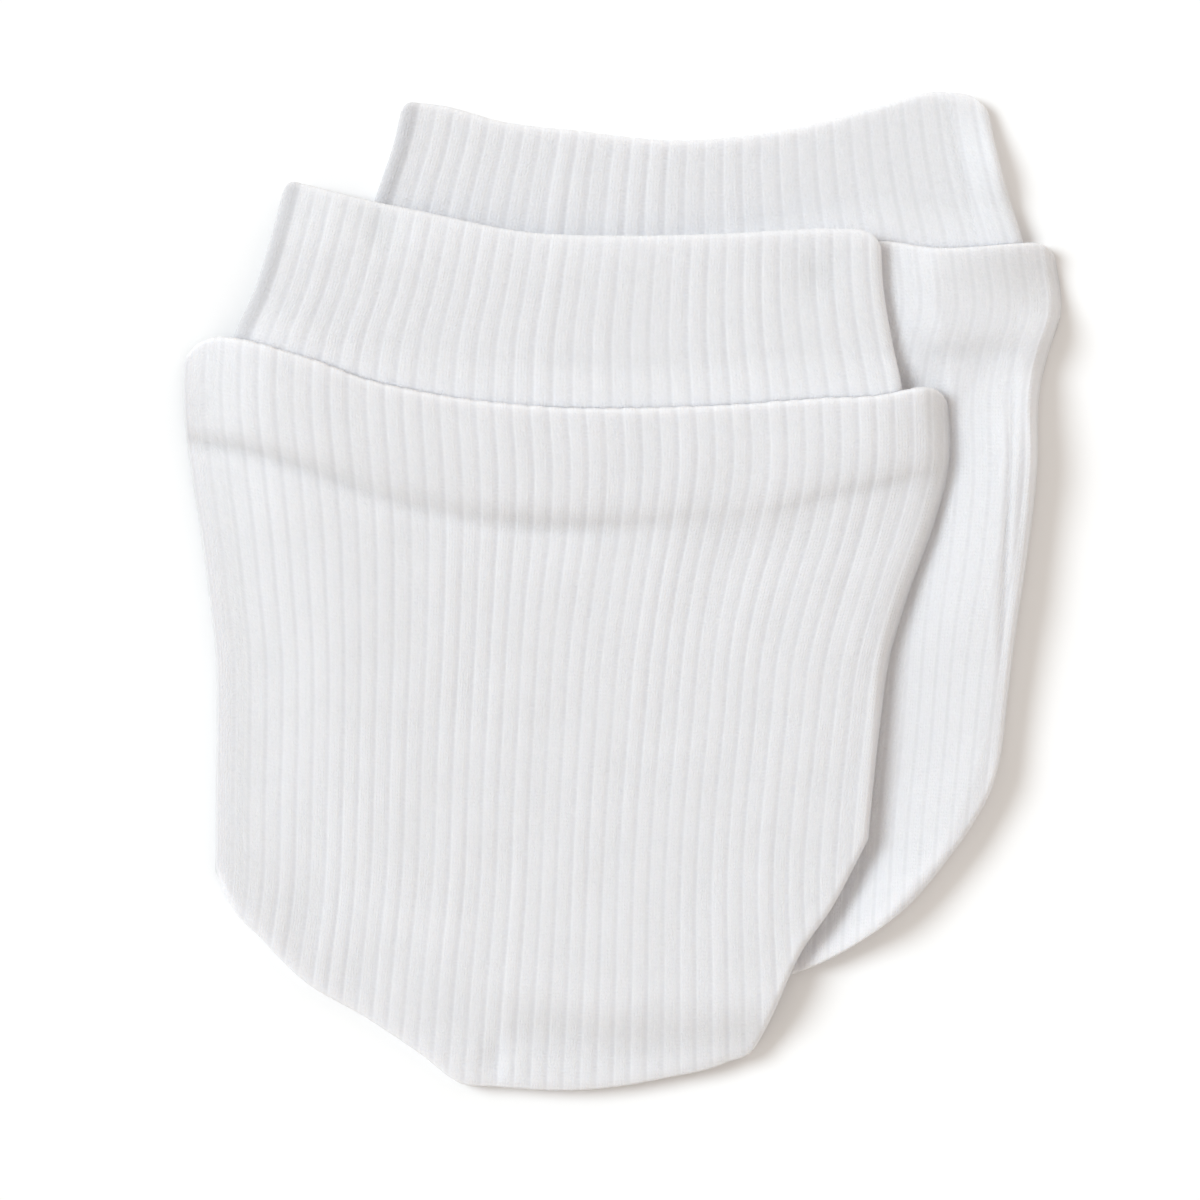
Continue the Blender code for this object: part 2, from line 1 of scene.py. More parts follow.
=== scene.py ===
# %% [markdown]
# # A pair of newborn's mittens in rib knit
#
# A newborn's mitten is a small thumbless bag of soft cotton knit that keeps the baby from
# scratching its face. Each one is cut as two rounded panels, a front and a back, sewn together
# round the sides and the tip and turned. A third piece, the cuff, is a strip of the same knit,
# joined into a ring, folded double, and sewn into the bag's mouth. The bag is wider than the
# cuff, so its mouth puffs up into a soft roll, and a crease runs across the hand where the
# hidden end of the cuff stops holding it up.
#
# The two mittens lie flat, one over the other. White cloth on a white table has hardly any
# colour to show its shape with, so all that the eye reads comes from light: the fine shadow
# between two ribs, the crease, and the soft shadow that each edge lets fall. That is why this
# lesson spends most of its lines on form, and few on colour.
#
# The cells build the piece in this order: the fixed frame, the outlines, the heights of the
# cloth, the ribs, the six pieces, the material, and last the table, the light and the camera.

import bpy
import numpy as np
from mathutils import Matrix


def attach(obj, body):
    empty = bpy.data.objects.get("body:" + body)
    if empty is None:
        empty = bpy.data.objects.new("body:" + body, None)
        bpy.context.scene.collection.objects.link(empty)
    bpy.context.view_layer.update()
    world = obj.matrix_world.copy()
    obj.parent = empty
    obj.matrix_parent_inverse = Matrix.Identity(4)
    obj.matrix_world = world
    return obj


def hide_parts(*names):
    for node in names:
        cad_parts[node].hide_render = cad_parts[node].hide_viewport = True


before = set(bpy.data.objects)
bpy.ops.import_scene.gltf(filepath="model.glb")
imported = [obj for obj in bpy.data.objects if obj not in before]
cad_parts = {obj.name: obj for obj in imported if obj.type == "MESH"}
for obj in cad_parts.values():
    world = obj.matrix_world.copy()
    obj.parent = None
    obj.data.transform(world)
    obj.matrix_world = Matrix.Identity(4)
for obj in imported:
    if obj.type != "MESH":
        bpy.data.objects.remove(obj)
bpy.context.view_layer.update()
print("solids:", sorted(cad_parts))

# %% [markdown]
# ## Sizes of the knit
#
# Everything is written in millimetres, because a tailor thinks in them, and one factor turns
# them into metres when a mesh is made. A 2 by 1 rib knit repeats every three columns of loops:
# two that stand out and one that sinks back. Here one such repeat, called a rib, is about
# 2 mm wide, and a course, which is one row of loops, is about 0.45 mm high.

# %% Sizes of the knit
MM = 0.001
HAND_RIBS = 44
TOP_CUFF_RIBS = 35
LOW_CUFF_RIBS = 33
HAND_WALL = 0.85         # thickness of the hand's knit, without its ribs
CUFF_WALL = 0.78         # the doubled knit of the cuff
RIB_HEIGHT = 0.1
COURSE = 0.45            # height of one row of loops
PIECE_GAP = 0.06         # between two pieces that touch
MITTEN_GAP = 0.1         # between the two mittens
COLUMNS_A_RIB = 8        # mesh columns across one rib
COARSE = 4               # the plain inner walls have one point for every four of the ribbed ones


def table(columns, *rows):
    """A short table as named columns: one array for each word in `columns`."""
    return dict(zip(columns.split(), np.array(rows, dtype=float).T))


# %% [markdown]
# ## The outlines, seen from above
#
# A laid-out garment is best described as its pattern is: by the lines where its cloth ends.
# Each piece here has two side lines, a mouth line and a foot line, all in millimetres. X runs
# across the mittens, and Y from the tips towards the cuffs. The tables are short, and a smooth
# curve runs through their rows, so that one number moves one place of the outline.

# %% Side lines: the left and right edges at each height
TOP_HAND_SIDES = table("y left right",
                       (-60.0, -53.8, 31.2),
                       (-48.0, -51.4, 30.2),
                       (-36.0, -49.2, 29.4),
                       (-24.0, -48.9, 30.2),
                       (-16.0, -48.8, 31.1),
                       (-8.0, -48.9, 32.2),
                       (0.0, -49.8, 34.6),
                       (8.0, -50.9, 37.5),
                       (14.0, -51.9, 39.1),
                       (24.0, -52.8, 39.1),
                       (31.0, -52.3, 38.9))
TOP_CUFF_SIDES = table("y left right",
                       (14.0, -48.8, 34.0),
                       (24.0, -48.3, 33.6),
                       (30.0, -46.8, 32.4),
                       (36.0, -44.2, 31.4),
                       (42.0, -42.3, 31.1),
                       (48.0, -40.8, 31.1))
LOW_HAND_SIDES = table("y left right",
                       (-48.0, -28.4, 43.6),
                       (-30.0, -27.9, 44.7),
                       (-20.0, -28.1, 45.8),
                       (-6.0, -29.2, 47.4),
                       (4.0, -30.4, 48.9),
                       (14.0, -32.5, 50.1),
                       (25.0, -35.0, 50.6),
                       (29.0, -35.8, 51.6),
                       (33.0, -36.3, 52.9),
                       (41.0, -36.2, 52.2))
LOW_CUFF_SIDES = table("y left right",
                       (26.0, -33.0, 49.3),
                       (36.0, -32.6, 49.0),
                       (42.0, -31.4, 48.3),
                       (48.0, -29.5, 46.4),
                       (54.0, -27.5, 44.9),
                       (58.0, -26.6, 44.2))

# %% Mouth lines: the lip of each hand and the rim of each cuff
TOP_LIP = table("x y",
                (-52.6, 31.0),
                (-46.0, 30.1),
                (-38.6, 28.1),
                (-30.2, 25.1),
                (-21.8, 23.3),
                (-12.0, 22.1),
                (0.0, 21.7),
                (12.0, 22.1),
                (24.0, 22.9),
                (31.0, 23.3),
                (35.0, 24.1),
                (39.2, 24.6))
TOP_RIM = table("x y",
                (-40.8, 49.4),
                (-32.6, 47.3),
                (-23.0, 45.2),
                (-12.0, 43.0),
                (0.0, 42.5),
                (12.0, 42.7),
                (26.2, 43.3),
                (31.2, 43.1))
LOW_LIP = table("x y",
                (-36.0, 40.2),
                (-23.0, 37.6),
                (-10.0, 36.6),
                (3.4, 37.2),
                (16.6, 39.2),
                (25.0, 41.0),
                (31.6, 42.0),
                (38.2, 41.1),
                (45.4, 41.6),
                (52.2, 42.0))
LOW_RIM = table("x y",
                (-26.6, 58.9),
                (-21.5, 58.3),
                (-15.8, 56.7),
                (-5.0, 55.3),
                (5.8, 54.2),
                (16.0, 54.9),
                (25.0, 56.6),
                (31.0, 58.3),
                (37.5, 60.0),
                (44.2, 59.5))

# %% Foot lines: the curved seam round the tip of each hand
TOP_TIP = table("x y",
                (-49.2, -33.4),
                (-47.8, -36.8),
                (-43.4, -42.1),
                (-38.6, -46.9),
                (-31.4, -51.2),
                (-24.2, -56.0),
                (-19.6, -59.4),
                (-15.0, -59.9),
                (-5.0, -60.3),
                (5.5, -58.8),
                (12.5, -57.0),
                (16.2, -54.9),
                (18.0, -51.4),
                (21.0, -44.6),
                (25.5, -37.8),
                (29.3, -30.6))
LOW_TIP = table("x y",
                (-28.0, -24.6),
                (-23.6, -30.6),
                (-14.6, -39.0),
                (-3.8, -45.0),
                (8.2, -47.5),
                (17.2, -47.2),
                (23.8, -45.1),
                (29.3, -42.0),
                (35.3, -37.2),
                (39.1, -32.6),
                (42.4, -27.9),
                (44.7, -23.4),
                (45.7, -20.0))

# %% Radii of the mouth line's left and right corners
TOP_HAND_CORNERS = (5.0, 3.2)
TOP_CUFF_CORNERS = (1.4, 2.4)
LOW_HAND_CORNERS = (3.0, 3.0)
LOW_CUFF_CORNERS = (1.2, 3.0)

# %% [markdown]
# ## Heights and folds
#
# The height of soft cloth is told down one line of the hand and then carried across it. The
# table gives it against the distance below the lip, as a share of the distance to the crease.
# The top mitten has a high roll and a step down to the flat of its hand at share 1, and the
# column "soft" spreads that step out on the right of the hand, as far as the next table says.
# What shows of the low one is puffed up beside the top one, with a slight crease, and the rest
# of it is pressed. Dents are soft bells pushed into that height, each with a middle, a half
# width, a half length, a depth, and a lean of its long axis in X for each millimetre of Y. A
# dent with a depth below 0 is a bulge.
#
# Where the low mitten comes out from under the top one it stays as flat as beneath it for a
# little, and rises evenly from there, within a reach given over y. So the top one's edge
# stands clear of it, and its shadow is the darkest line of the whole picture.

# %% Heights and folds
HAND_PROFILE = table("share top soft low pressed",
                     (0.0, 4.35, 4.35, 5.1, 3.95),
                     (0.15, 4.42, 4.42, 5.35, 3.97),
                     (0.3, 4.5, 4.5, 5.45, 4.0),
                     (0.5, 4.55, 4.55, 5.45, 4.0),
                     (0.65, 4.52, 4.5, 5.4, 4.0),
                     (0.76, 4.42, 4.4, 5.3, 3.95),
                     (0.86, 4.15, 4.2, 5.0, 3.9),
                     (0.94, 3.6, 3.95, 4.6, 3.85),
                     (1.0, 2.95, 3.65, 4.3, 3.8),
                     (1.05, 2.68, 3.48, 4.15, 3.75),
                     (1.15, 2.72, 3.22, 4.1, 3.7),
                     (1.4, 2.85, 2.9, 4.4, 3.55),
                     (1.9, 2.9, 2.9, 5.2, 3.25),
                     (2.6, 2.9, 2.9, 5.4, 2.95),
                     (3.3, 2.9, 2.9, 5.3, 2.7),
                     (4.1, 2.9, 2.9, 4.6, 2.45),
                     (4.7, 2.9, 2.9, 4.5, 2.3),
                     (5.3, 2.9, 2.9, 4.7, 2.15),
                     (7.0, 2.9, 2.9, 4.8, 2.15))
SOFT_CREASE = table("x share",
                    (-52.0, 0.0),
                    (-6.0, 0.0),
                    (8.0, 0.9),
                    (16.0, 1.0),
                    (24.0, 0.75),
                    (31.0, 0.75),
                    (38.0, 0.9))
TOP_CREASE = table("x depth",
                   (-52.0, 12.8),
                   (-30.0, 13.4),
                   (-6.0, 13.9),
                   (10.0, 13.3),
                   (19.0, 12.8),
                   (26.0, 11.3),
                   (33.0, 10.5),
                   (38.0, 10.4))
LOW_CREASE = table("x depth",
                   (-36.0, 12.4),
                   (0.0, 12.4),
                   (52.0, 13.0))
TOP_HAND_DENTS = table("x y wide long depth lean",
                       (-15.5, -56.6, 1.5, 2.4, 0.5, 0.0),
                       (-51.0, 21.0, 3.0, 3.0, 0.4, 0.0),
                       (27.0, 2.0, 2.0, 11.0, 0.25, 0.25),
                       (42.0, 19.0, 6.5, 9.0, 2.3, 0.0),
                       (34.0, 0.0, 5.0, 16.0, 0.4, 0.0),
                       (-32.0, 13.2, 7.5, 5.5, 0.3, -2.9),
                       (-49.0, -10.0, 8.0, 40.0, -1.2, -0.1))
TOP_CUFF_DENTS = table("x y wide long depth lean",
                       (-29.0, 43.2, 2.4, 3.0, 0.4, 0.0),
                       (23.8, 37.8, 2.6, 3.0, 0.35, 0.0))
LOW_HAND_DENTS = table("x y wide long depth lean",
                       (46.2, 8.0, 0.5, 16.0, 0.35, 0.046),
                       (48.8, 4.0, 2.2, 14.0, 0.3, 0.046),
                       (50.0, 22.0, 4.0, 9.0, -1.4, 0.1),
                       (47.9, 12.0, 0.5, 12.0, 0.15, 0.04),
                       (50.6, 26.6, 2.4, 1.6, 0.6, 0.0),
                       (54.5, 38.0, 7.5, 5.5, 3.6, 0.0),
                       (42.0, 5.0, 12.0, 28.0, -0.9, 0.0))
LOW_CUFF_DENTS = table("x y wide long depth lean",
                       (40.9, 51.0, 0.6, 7.5, 0.2, -0.22),
                       (43.3, 53.0, 0.5, 5.0, 0.15, -0.2),
                       (45.3, 51.0, 3.0, 5.5, -2.1, -0.2))
BESIDE_TOP = table("y reach",
                   (-48.0, 5.0),
                   (-36.0, 6.0),
                   (-26.0, 10.0),
                   (-10.0, 12.0),
                   (0.0, 9.0),
                   (10.0, 7.0),
                   (18.0, 5.5),
                   (30.0, 5.0),
                   (46.0, 6.0))
BESIDE_FLAT = 0.8        # the low mitten stays pressed as far as this beside the top one

# %% Rounding of the pieces
TOP_SIDE_ROUNDS = table("y left right",
                        (-60.0, 0.25, 0.6),
                        (-20.0, 0.25, 0.9),
                        (-8.0, 0.25, 1.8),
                        (2.0, 0.25, 2.6),
                        (14.0, 0.25, 2.8),
                        (22.0, 0.25, 3.2),
                        (31.0, 0.25, 3.2))
LOW_SIDE_ROUNDS = table("y left right",
                        (-48.0, 0.4, 0.8),
                        (0.0, 0.4, 0.9),
                        (17.0, 0.4, 1.4),
                        (29.0, 0.4, 2.0),
                        (42.0, 0.4, 1.6))
SIDE_ROUND = 0.4         # the mesh's columns follow a round of this radius at both sides
SIDE_RISE = 2.0          # and of this height
TIP_ROUND = 0.35         # over this distance the hand rises from the seam round its tip
INNER_ROUND = 0.3        # smallest rounding of the inside of a wall
LIP_ROUND = 0.35         # the hand rises from its lip over this distance
SEAM_TURN = 0.25         # how far the back's edge turns up to the seam
SEAM_ROUND = 2.0         # over this distance
SEAM_THIN = 0.3          # both walls lose this much thickness at the seam
CUFF_ROUND = 1.5         # over this distance the flattened cuff turns over at its sides
SLIT_INSIDE = 0.15       # between the cuff's walls where the hand holds it
SLIT_AT_RIM = 0.2        # and at its rim
SET_IN_SHARE = 0.72      # the cuff is set into the hand as far as this share of the crease
LIFT_REACH = (1.0, 6.0)     # outside the lip the cuff comes down to the bed between these
SLIT_REACH = (1.0, 7.0)     # distances, and its slit opens between these
BESIDE_CUFF = (0.8, 3.0)    # beside the cuff the lip drops to the back between these distances
PAST_CUFF = (0.8, 1.1)      # and below the lip between these shares of the crease's depth
SMALLEST_CORNER = 0.5       # no corner of the mouth line has a smaller radius

# %% [markdown]
# ## Curves and profiles
#
# These are the few formulas that all the shapes share. They take whole arrays and give whole
# arrays back, so that one call works out every point of a piece.


# %% Curves and profiles
def smooth(rows, along, name, at):
    """A cubic through the rows of a table, with the slope of the neighbouring rows at each
    one, and a straight line past both ends."""
    place = rows[along]
    value = rows[name]
    slope = np.gradient(value, place)
    step = np.clip(np.searchsorted(place, at) - 1, 0, len(place) - 2)
    width = place[step + 1] - place[step]
    part = (at - place[step]) / width
    t = np.clip(part, 0.0, 1.0)
    curve = (1.0 + 2.0 * t) * (1.0 - t) ** 2 * value[step]
    curve = curve + t * t * (3.0 - 2.0 * t) * value[step + 1]
    curve = curve + t * (1.0 - t) ** 2 * width * slope[step]
    curve = curve - t * t * (1.0 - t) * width * slope[step + 1]
    beyond = np.where(part > 1.0, slope[step + 1], slope[step])
    return curve + (part - t) * width * beyond


def ramp(low, high, at):
    """0 below `low`, 1 above `high`, and three t squared less two t cubed between them."""
    t = np.clip((at - low) / (high - low), 0.0, 1.0)
    return t * t * (3.0 - 2.0 * t)


def quarter_round(distance, radius):
    """Height of a quarter circle at a distance from its foot, as a share of its radius."""
    t = 1.0 - np.clip(distance / radius, 0.0, 1.0)
    return np.sqrt(1.0 - t * t)


def soft_round(distance, radius):
    """A flatter rounding: a parabola that ends level at the radius."""
    t = 1.0 - np.clip(distance / radius, 0.0, 1.0)
    return 1.0 - t * t


def corner_drop(distance, radius):
    """How far a rounded corner falls below its line, at a distance from its side."""
    radius = max(radius, SMALLEST_CORNER)
    return radius * (1.0 - quarter_round(np.clip(distance, 0.0, None), radius))


def dent_depth(dents, x, y):
    """Sum of the dents: each is its depth times a bell over its width and its length."""
    total = np.zeros_like(x)
    for row in range(len(dents["x"])):
        down = y - dents["y"][row]
        over = x - dents["x"][row] - dents["lean"][row] * down
        bell = np.exp(-(over / dents["wide"][row]) ** 2 - (down / dents["long"][row]) ** 2)
        total = total + dents["depth"][row] * bell
    return total


def ripple(x, y, wavelength, seed):
    """A soft unevenness between about -1 and 1: the mean of eight sine waves, with seeded
    directions, phases and lengths within a third of the wavelength."""
    random = np.random.default_rng(seed)
    total = np.zeros_like(x)
    waves = 8
    for _ in range(waves):
        angle, phase = random.uniform(0.0, 2.0 * np.pi, 2)
        turns = 2.0 * np.pi / (wavelength * random.uniform(0.7, 1.3))
        total = total + np.sin(turns * (x * np.cos(angle) + y * np.sin(angle)) + phase)
    return total * 2.0 / waves


# %% [markdown]
# ## A piece's plan
#
# An outline turns two shares into a place. `across` runs from the left line to the right one,
# and the rows run down from the mouth, so the mesh's columns lean with the side lines, as the
# ribs of the real knit do. A row close to the mouth keeps its distance from it, and the rows
# below share what is left of the length.


# %% The outline of a piece
SLOPE_STEP = 0.05        # a line's slope is measured this far to both sides
PLACE_ROUNDS = 24        # how often x and y are worked out from each other


class Outline:
    """A piece seen from above: two side lines over y, a mouth line and a foot line over x."""

    def __init__(self, sides, mouth_line, foot_line, corner_rounds):
        self.sides = sides
        self.mouth_line = mouth_line
        self.foot_line = foot_line
        self.corner_rounds = corner_rounds

    def left(self, y, inset=0.0):
        return smooth(self.sides, "y", "left", y) + inset

    def right(self, y, inset=0.0):
        return smooth(self.sides, "y", "right", y) - inset

    def mouth(self, x, inset=0.0):
        """The mouth line, less what its two rounded corners drop."""
        line = self.mouth_line(x)
        left_radius, right_radius = self.corner_rounds
        left_drop = corner_drop(x - self.left(line - left_radius, inset), left_radius - inset)
        right_drop = corner_drop(self.right(line - right_radius, inset) - x,
                                 right_radius - inset)
        return line - inset - left_drop - right_drop

    def foot(self, x, inset=0.0):
        """The foot line, moved in by the inset at right angles to itself."""
        step = SLOPE_STEP
        slope = (self.foot_line(x + step) - self.foot_line(x - step)) / (2.0 * step)
        return self.foot_line(x) + inset * np.sqrt(1.0 + slope ** 2)

    def place(self, across, rows, inset=0.0):
        """Plan points for every row and column. A row is a fixed distance below the mouth plus
        a share of the length left over, and a column is a share of the width. Each depends on
        the other, so the two are worked out in turn until they agree."""
        below, share = rows
        across, below = np.meshgrid(across, below)
        share = share[:, None]
        x = self.left(0.0) * (1.0 - across) + self.right(0.0) * across
        for _ in range(PLACE_ROUNDS):
            top = self.mouth(x, inset)
            free = top - self.foot(x, inset) - below[-1]
            y = top - below - share * free
            x = 0.5 * x + 0.5 * (self.left(y, inset) * (1.0 - across)
                                 + self.right(y, inset) * across)
        return x, y

    def depths(self, x, y):
        """Distance inwards from the left, right, foot and mouth lines: the difference along
        the axis, divided by the length of the line's normal."""
        step = SLOPE_STEP
        mouth_slope = (self.mouth_line(x + step) - self.mouth_line(x - step)) / (2.0 * step)
        foot_slope = (self.foot(x + step) - self.foot(x - step)) / (2.0 * step)
        to_mouth = (self.mouth(x) - y) / np.sqrt(1.0 + mouth_slope ** 2)
        to_foot = (y - self.foot(x)) / np.sqrt(1.0 + foot_slope ** 2)
        return x - self.left(y), self.right(y) - x, to_foot, to_mouth

    def depth(self, x, y):
        return np.minimum.reduce(self.depths(x, y))


def line_through(rows):
    return lambda x: smooth(rows, "x", "y", x)


def set_in_end(lip, crease):
    """The line where the cuff ends inside the hand: the lip, less a share of the crease."""
    return lambda x: smooth(lip, "x", "y", x) - SET_IN_SHARE * smooth(crease, "x", "depth", x)


top_hand = Outline(TOP_HAND_SIDES, line_through(TOP_LIP), line_through(TOP_TIP),
                   TOP_HAND_CORNERS)
low_hand = Outline(LOW_HAND_SIDES, line_through(LOW_LIP), line_through(LOW_TIP),
                   LOW_HAND_CORNERS)
top_cuff = Outline(TOP_CUFF_SIDES, line_through(TOP_RIM), set_in_end(TOP_LIP, TOP_CREASE),
                   TOP_CUFF_CORNERS)
low_cuff = Outline(LOW_CUFF_SIDES, line_through(LOW_RIM), set_in_end(LOW_LIP, LOW_CREASE),
                   LOW_CUFF_CORNERS)
print("width of the top hand in mm:", round(float(top_hand.right(20.0) - top_hand.left(20.0)), 1))

# %% [markdown]
# ## The mitten's heights
#
# A laid-out mitten is a height over a plan. The front rises in tight quarter rounds from its
# left seam, its tip and its lip, and in a wider and flatter round from its right side, up to
# the crown that the table of heights gives. The back lies on its bed and turns up a little to
# meet the front at the seam. The cuff is a flattened tube with a slit between its walls. It
# starts inside the hand, on the hand's back, and comes down to the table outside it.


# %% The mitten's heights
class Mitten:
    """The heights of one mitten's cloth at any point of its plan. `columns` names two columns
    of the heights, `second` says how much the second one counts at a point, and `bed` gives
    the height of what the mitten lies on."""

    def __init__(self, hand, cuff, crease, side_rounds, columns, second, hand_dents,
                 cuff_dents, bed):
        self.hand = hand
        self.cuff = cuff
        self.crease = crease
        self.side_rounds = side_rounds
        self.columns = columns
        self.second = second
        self.hand_dents = hand_dents
        self.cuff_dents = cuff_dents
        self.bed = bed

    def past_lip(self, x, y):
        """Distance below the lip as a share of the crease's depth, and outside it in length."""
        below = self.hand.mouth_line(x) - y
        return below / smooth(self.crease, "x", "depth", x), -below

    def crown(self, x, y):
        """Height of the hand's outside over its bed: a blend of the table's two columns,
        less the dents."""
        share = np.clip(self.past_lip(x, y)[0], 0.0, None)
        first, second = (smooth(HAND_PROFILE, "share", name, share) for name in self.columns)
        height = first + (second - first) * self.second(x, y)
        return height - dent_depth(self.hand_dents, x, y)

    def over_cuff(self, x, y):
        """1 where the hand's edge lies on the cuff, 0 where it lies on the hand's back."""
        beside = np.maximum(self.cuff.left(y) - x, x - self.cuff.right(y))
        share = self.past_lip(x, y)[0]
        return (1.0 - ramp(*BESIDE_CUFF, beside)) * (1.0 - ramp(*PAST_CUFF, share))

    def hand_back(self, x, y):
        """The underside, which turns up to the seam in a round, and the inside, which sinks a
        little there, both over the bed."""
        bed = self.bed(x, y)
        turn = 1.0 - quarter_round(self.hand.depth(x, y), SEAM_ROUND)
        return bed + SEAM_TURN * turn, bed + HAND_WALL - SEAM_THIN * turn

    def hand_front(self, x, y, inset=0.0):
        """The outside of the front, or its inside with an inset: the seat, where its edge
        rests, plus the rest of the crown's height times the rounds of its four edges."""
        bed = self.bed(x, y)
        cuff_height = 2.0 * CUFF_WALL + SLIT_INSIDE + RIB_HEIGHT + PIECE_GAP
        seat = self.hand_back(x, y)[1] + PIECE_GAP + cuff_height * self.over_cuff(x, y)
        left, right, foot, mouth = self.hand.depths(x, y)
        rise = quarter_round(foot - inset, max(TIP_ROUND - inset, INNER_ROUND))
        for side, distance, rounding in (("left", left, quarter_round),
                                         ("right", right, soft_round)):
            radius = smooth(self.side_rounds, "y", side, y) - inset
            rise = rise * rounding(distance - inset, np.maximum(radius, INNER_ROUND))
        rise = rise * quarter_round(mouth - inset, max(LIP_ROUND - inset, INNER_ROUND))
        return seat + (bed + self.crown(x, y) - inset - seat) * rise

    def cuff_wall(self, x, y, side_depth, share):
        """The cuff's upper and lower wall: half the slit plus a share of the wall's thickness
        to both sides of the middle, times a quarter round at its sides. Share 1 is the
        outside, 0 the inside and 0.5 the middle of the knit. Dents are only in the outside,
        and bulges lift the inside with it."""
        outside = self.past_lip(x, y)[1]
        lift = (HAND_WALL + PIECE_GAP) * (1.0 - ramp(*LIFT_REACH, outside))
        slit = SLIT_INSIDE + (SLIT_AT_RIM - SLIT_INSIDE) * ramp(*SLIT_REACH, outside)
        middle = self.bed(x, y) + lift + CUFF_WALL + slit / 2.0
        half = slit / 2.0 + share * CUFF_WALL
        turn = CUFF_ROUND - (1.0 - share) * CUFF_WALL
        bulge = half * quarter_round(side_depth, turn)
        dent = dent_depth(self.cuff_dents, x, y)
        dent = np.where(share > 0.5, dent, np.minimum(dent, 0.0))
        return middle + bulge - dent, middle - bulge


# %% [markdown]
# ## How the top mitten drapes over the low one
#
# Soft cloth that lies on something follows it, but bridges its narrow places. A cloth
# simulation would show that too, yet it would take minutes, and it would blur the ribs. The
# same effect comes from two filters on a grid of heights: first each cell takes the highest
# value within its reach, which spreads the low mitten outwards, and then the grid is averaged
# over the same reach, which rounds it off. Averaging values that were spread that far can
# never bring the bed below the cloth that it lies on.

# %% The bed of the top mitten
DRAPE_CELL = 0.5          # cell of the grid
DRAPE_ALONG = (4, 4, 2)   # reach of each averaging pass along y, in cells
DRAPE_ACROSS = (9, 9, 6)  # and along x
DRAPE_HALF = (70.0, 76.0) # half the grid's width and length
DRAPE_BESIDE = 0.6        # what lies this far outside the outlines still counts


def nowhere(x, y):
    return np.zeros_like(x)


def everywhere(x, y):
    return np.ones_like(x)


def under_top(x, y):
    """1 under the top mitten and close beside it, and from there evenly down to 0."""
    outside = -np.maximum(top_hand.depth(x, y), top_cuff.depth(x, y)) - BESIDE_FLAT
    return 1.0 - np.clip(outside / smooth(BESIDE_TOP, "y", "reach", y), 0.0, 1.0)


def soft_crease(x, y):
    """How much the step at the crease is spread out."""
    return np.clip(smooth(SOFT_CREASE, "x", "share", x), 0.0, 1.0)


def shifted(grid, reach, axis):
    return [np.roll(grid, step, axis) for step in range(-reach, reach + 1)]


def cubic_weights(t):
    """Weights of the four grid points round a place, for a cubic through the middle two."""
    return (-0.5 * t + t ** 2 - 0.5 * t ** 3,
            1.0 - 2.5 * t ** 2 + 1.5 * t ** 3,
            0.5 * t + 2.0 * t ** 2 - 1.5 * t ** 3,
            -0.5 * t ** 2 + 0.5 * t ** 3)


def draped_bed(low, *above):
    """The low mitten's height on a grid, spread outwards and averaged, as a function that
    reads the grid with a cubic in both directions. Only what lies beneath the outlines
    `above` counts, so that the cloth puffed up beside them does not lift their edges."""
    xs = np.arange(-DRAPE_HALF[0], DRAPE_HALF[0] + DRAPE_CELL, DRAPE_CELL)
    ys = np.arange(-DRAPE_HALF[1], DRAPE_HALF[1] + DRAPE_CELL, DRAPE_CELL)
    x, y = np.meshgrid(xs, ys)
    hand = low.hand_front(x, y) + RIB_HEIGHT
    side = np.minimum(x - low.cuff.left(y), low.cuff.right(y) - x)
    cuff = low.cuff_wall(x, y, side, 1.0)[0] + RIB_HEIGHT
    height = np.maximum(np.where(low.hand.depth(x, y) > 0.0, hand, -MITTEN_GAP),
                        np.where(low.cuff.depth(x, y) > 0.0, cuff, -MITTEN_GAP)) + MITTEN_GAP
    depth = np.maximum.reduce([outline.depth(x, y) for outline in above])
    height = np.where(depth > -DRAPE_BESIDE, height, 0.0)
    for axis, passes in enumerate((DRAPE_ALONG, DRAPE_ACROSS)):
        height = np.maximum.reduce(shifted(height, sum(passes), axis))
        for reach in passes:
            height = np.mean(shifted(height, reach, axis), axis=0)

    def bed(x, y):
        column = np.clip((x + DRAPE_HALF[0]) / DRAPE_CELL, 1, len(xs) - 3)
        row = np.clip((y + DRAPE_HALF[1]) / DRAPE_CELL, 1, len(ys) - 3)
        i = np.floor(column).astype(int)
        j = np.floor(row).astype(int)
        total = np.zeros(np.shape(x))
        for down, weight_y in enumerate(cubic_weights(row - j)):
            for over, weight_x in enumerate(cubic_weights(column - i)):
                total = total + weight_y * weight_x * height[j + down - 1, i + over - 1]
        return total

    return bed


# Beneath the top mitten the low one is pressed flat, so the bed is worked out from a low mitten
# that is pressed all over.
LOW_PARTS = (low_hand, low_cuff, LOW_CREASE, LOW_SIDE_ROUNDS, ("low", "pressed"))
low_mitten = Mitten(*LOW_PARTS, under_top, LOW_HAND_DENTS, LOW_CUFF_DENTS, nowhere)
pressed_flat = Mitten(*LOW_PARTS, everywhere, LOW_HAND_DENTS, LOW_CUFF_DENTS, nowhere)
top_mitten = Mitten(top_hand, top_cuff, TOP_CREASE, TOP_SIDE_ROUNDS, ("top", "soft"),
                    soft_crease, TOP_HAND_DENTS, TOP_CUFF_DENTS,
                    draped_bed(pressed_flat, top_hand, top_cuff))
bed_in_middle = float(top_mitten.bed(np.zeros(1), np.zeros(1))[0])
print("bed of the top mitten in the middle, in mm:", round(bed_in_middle, 2))

# %% [markdown]
# ## The ribs
#
# The ribs could be a bump in the material, but then the outline would stay smooth and a low
# light would show the cheat. Here they are real relief: each point moves along the cloth's own
# normal, so that ribs that run over the lip or the tip also notch its outline. A rib is broad
# and flat with a narrow groove beside it, which is 1 less a power of the distance from its
# middle. No two ribs of soft knit are alike, so each has its own height, and all of them wander
# a little sideways.

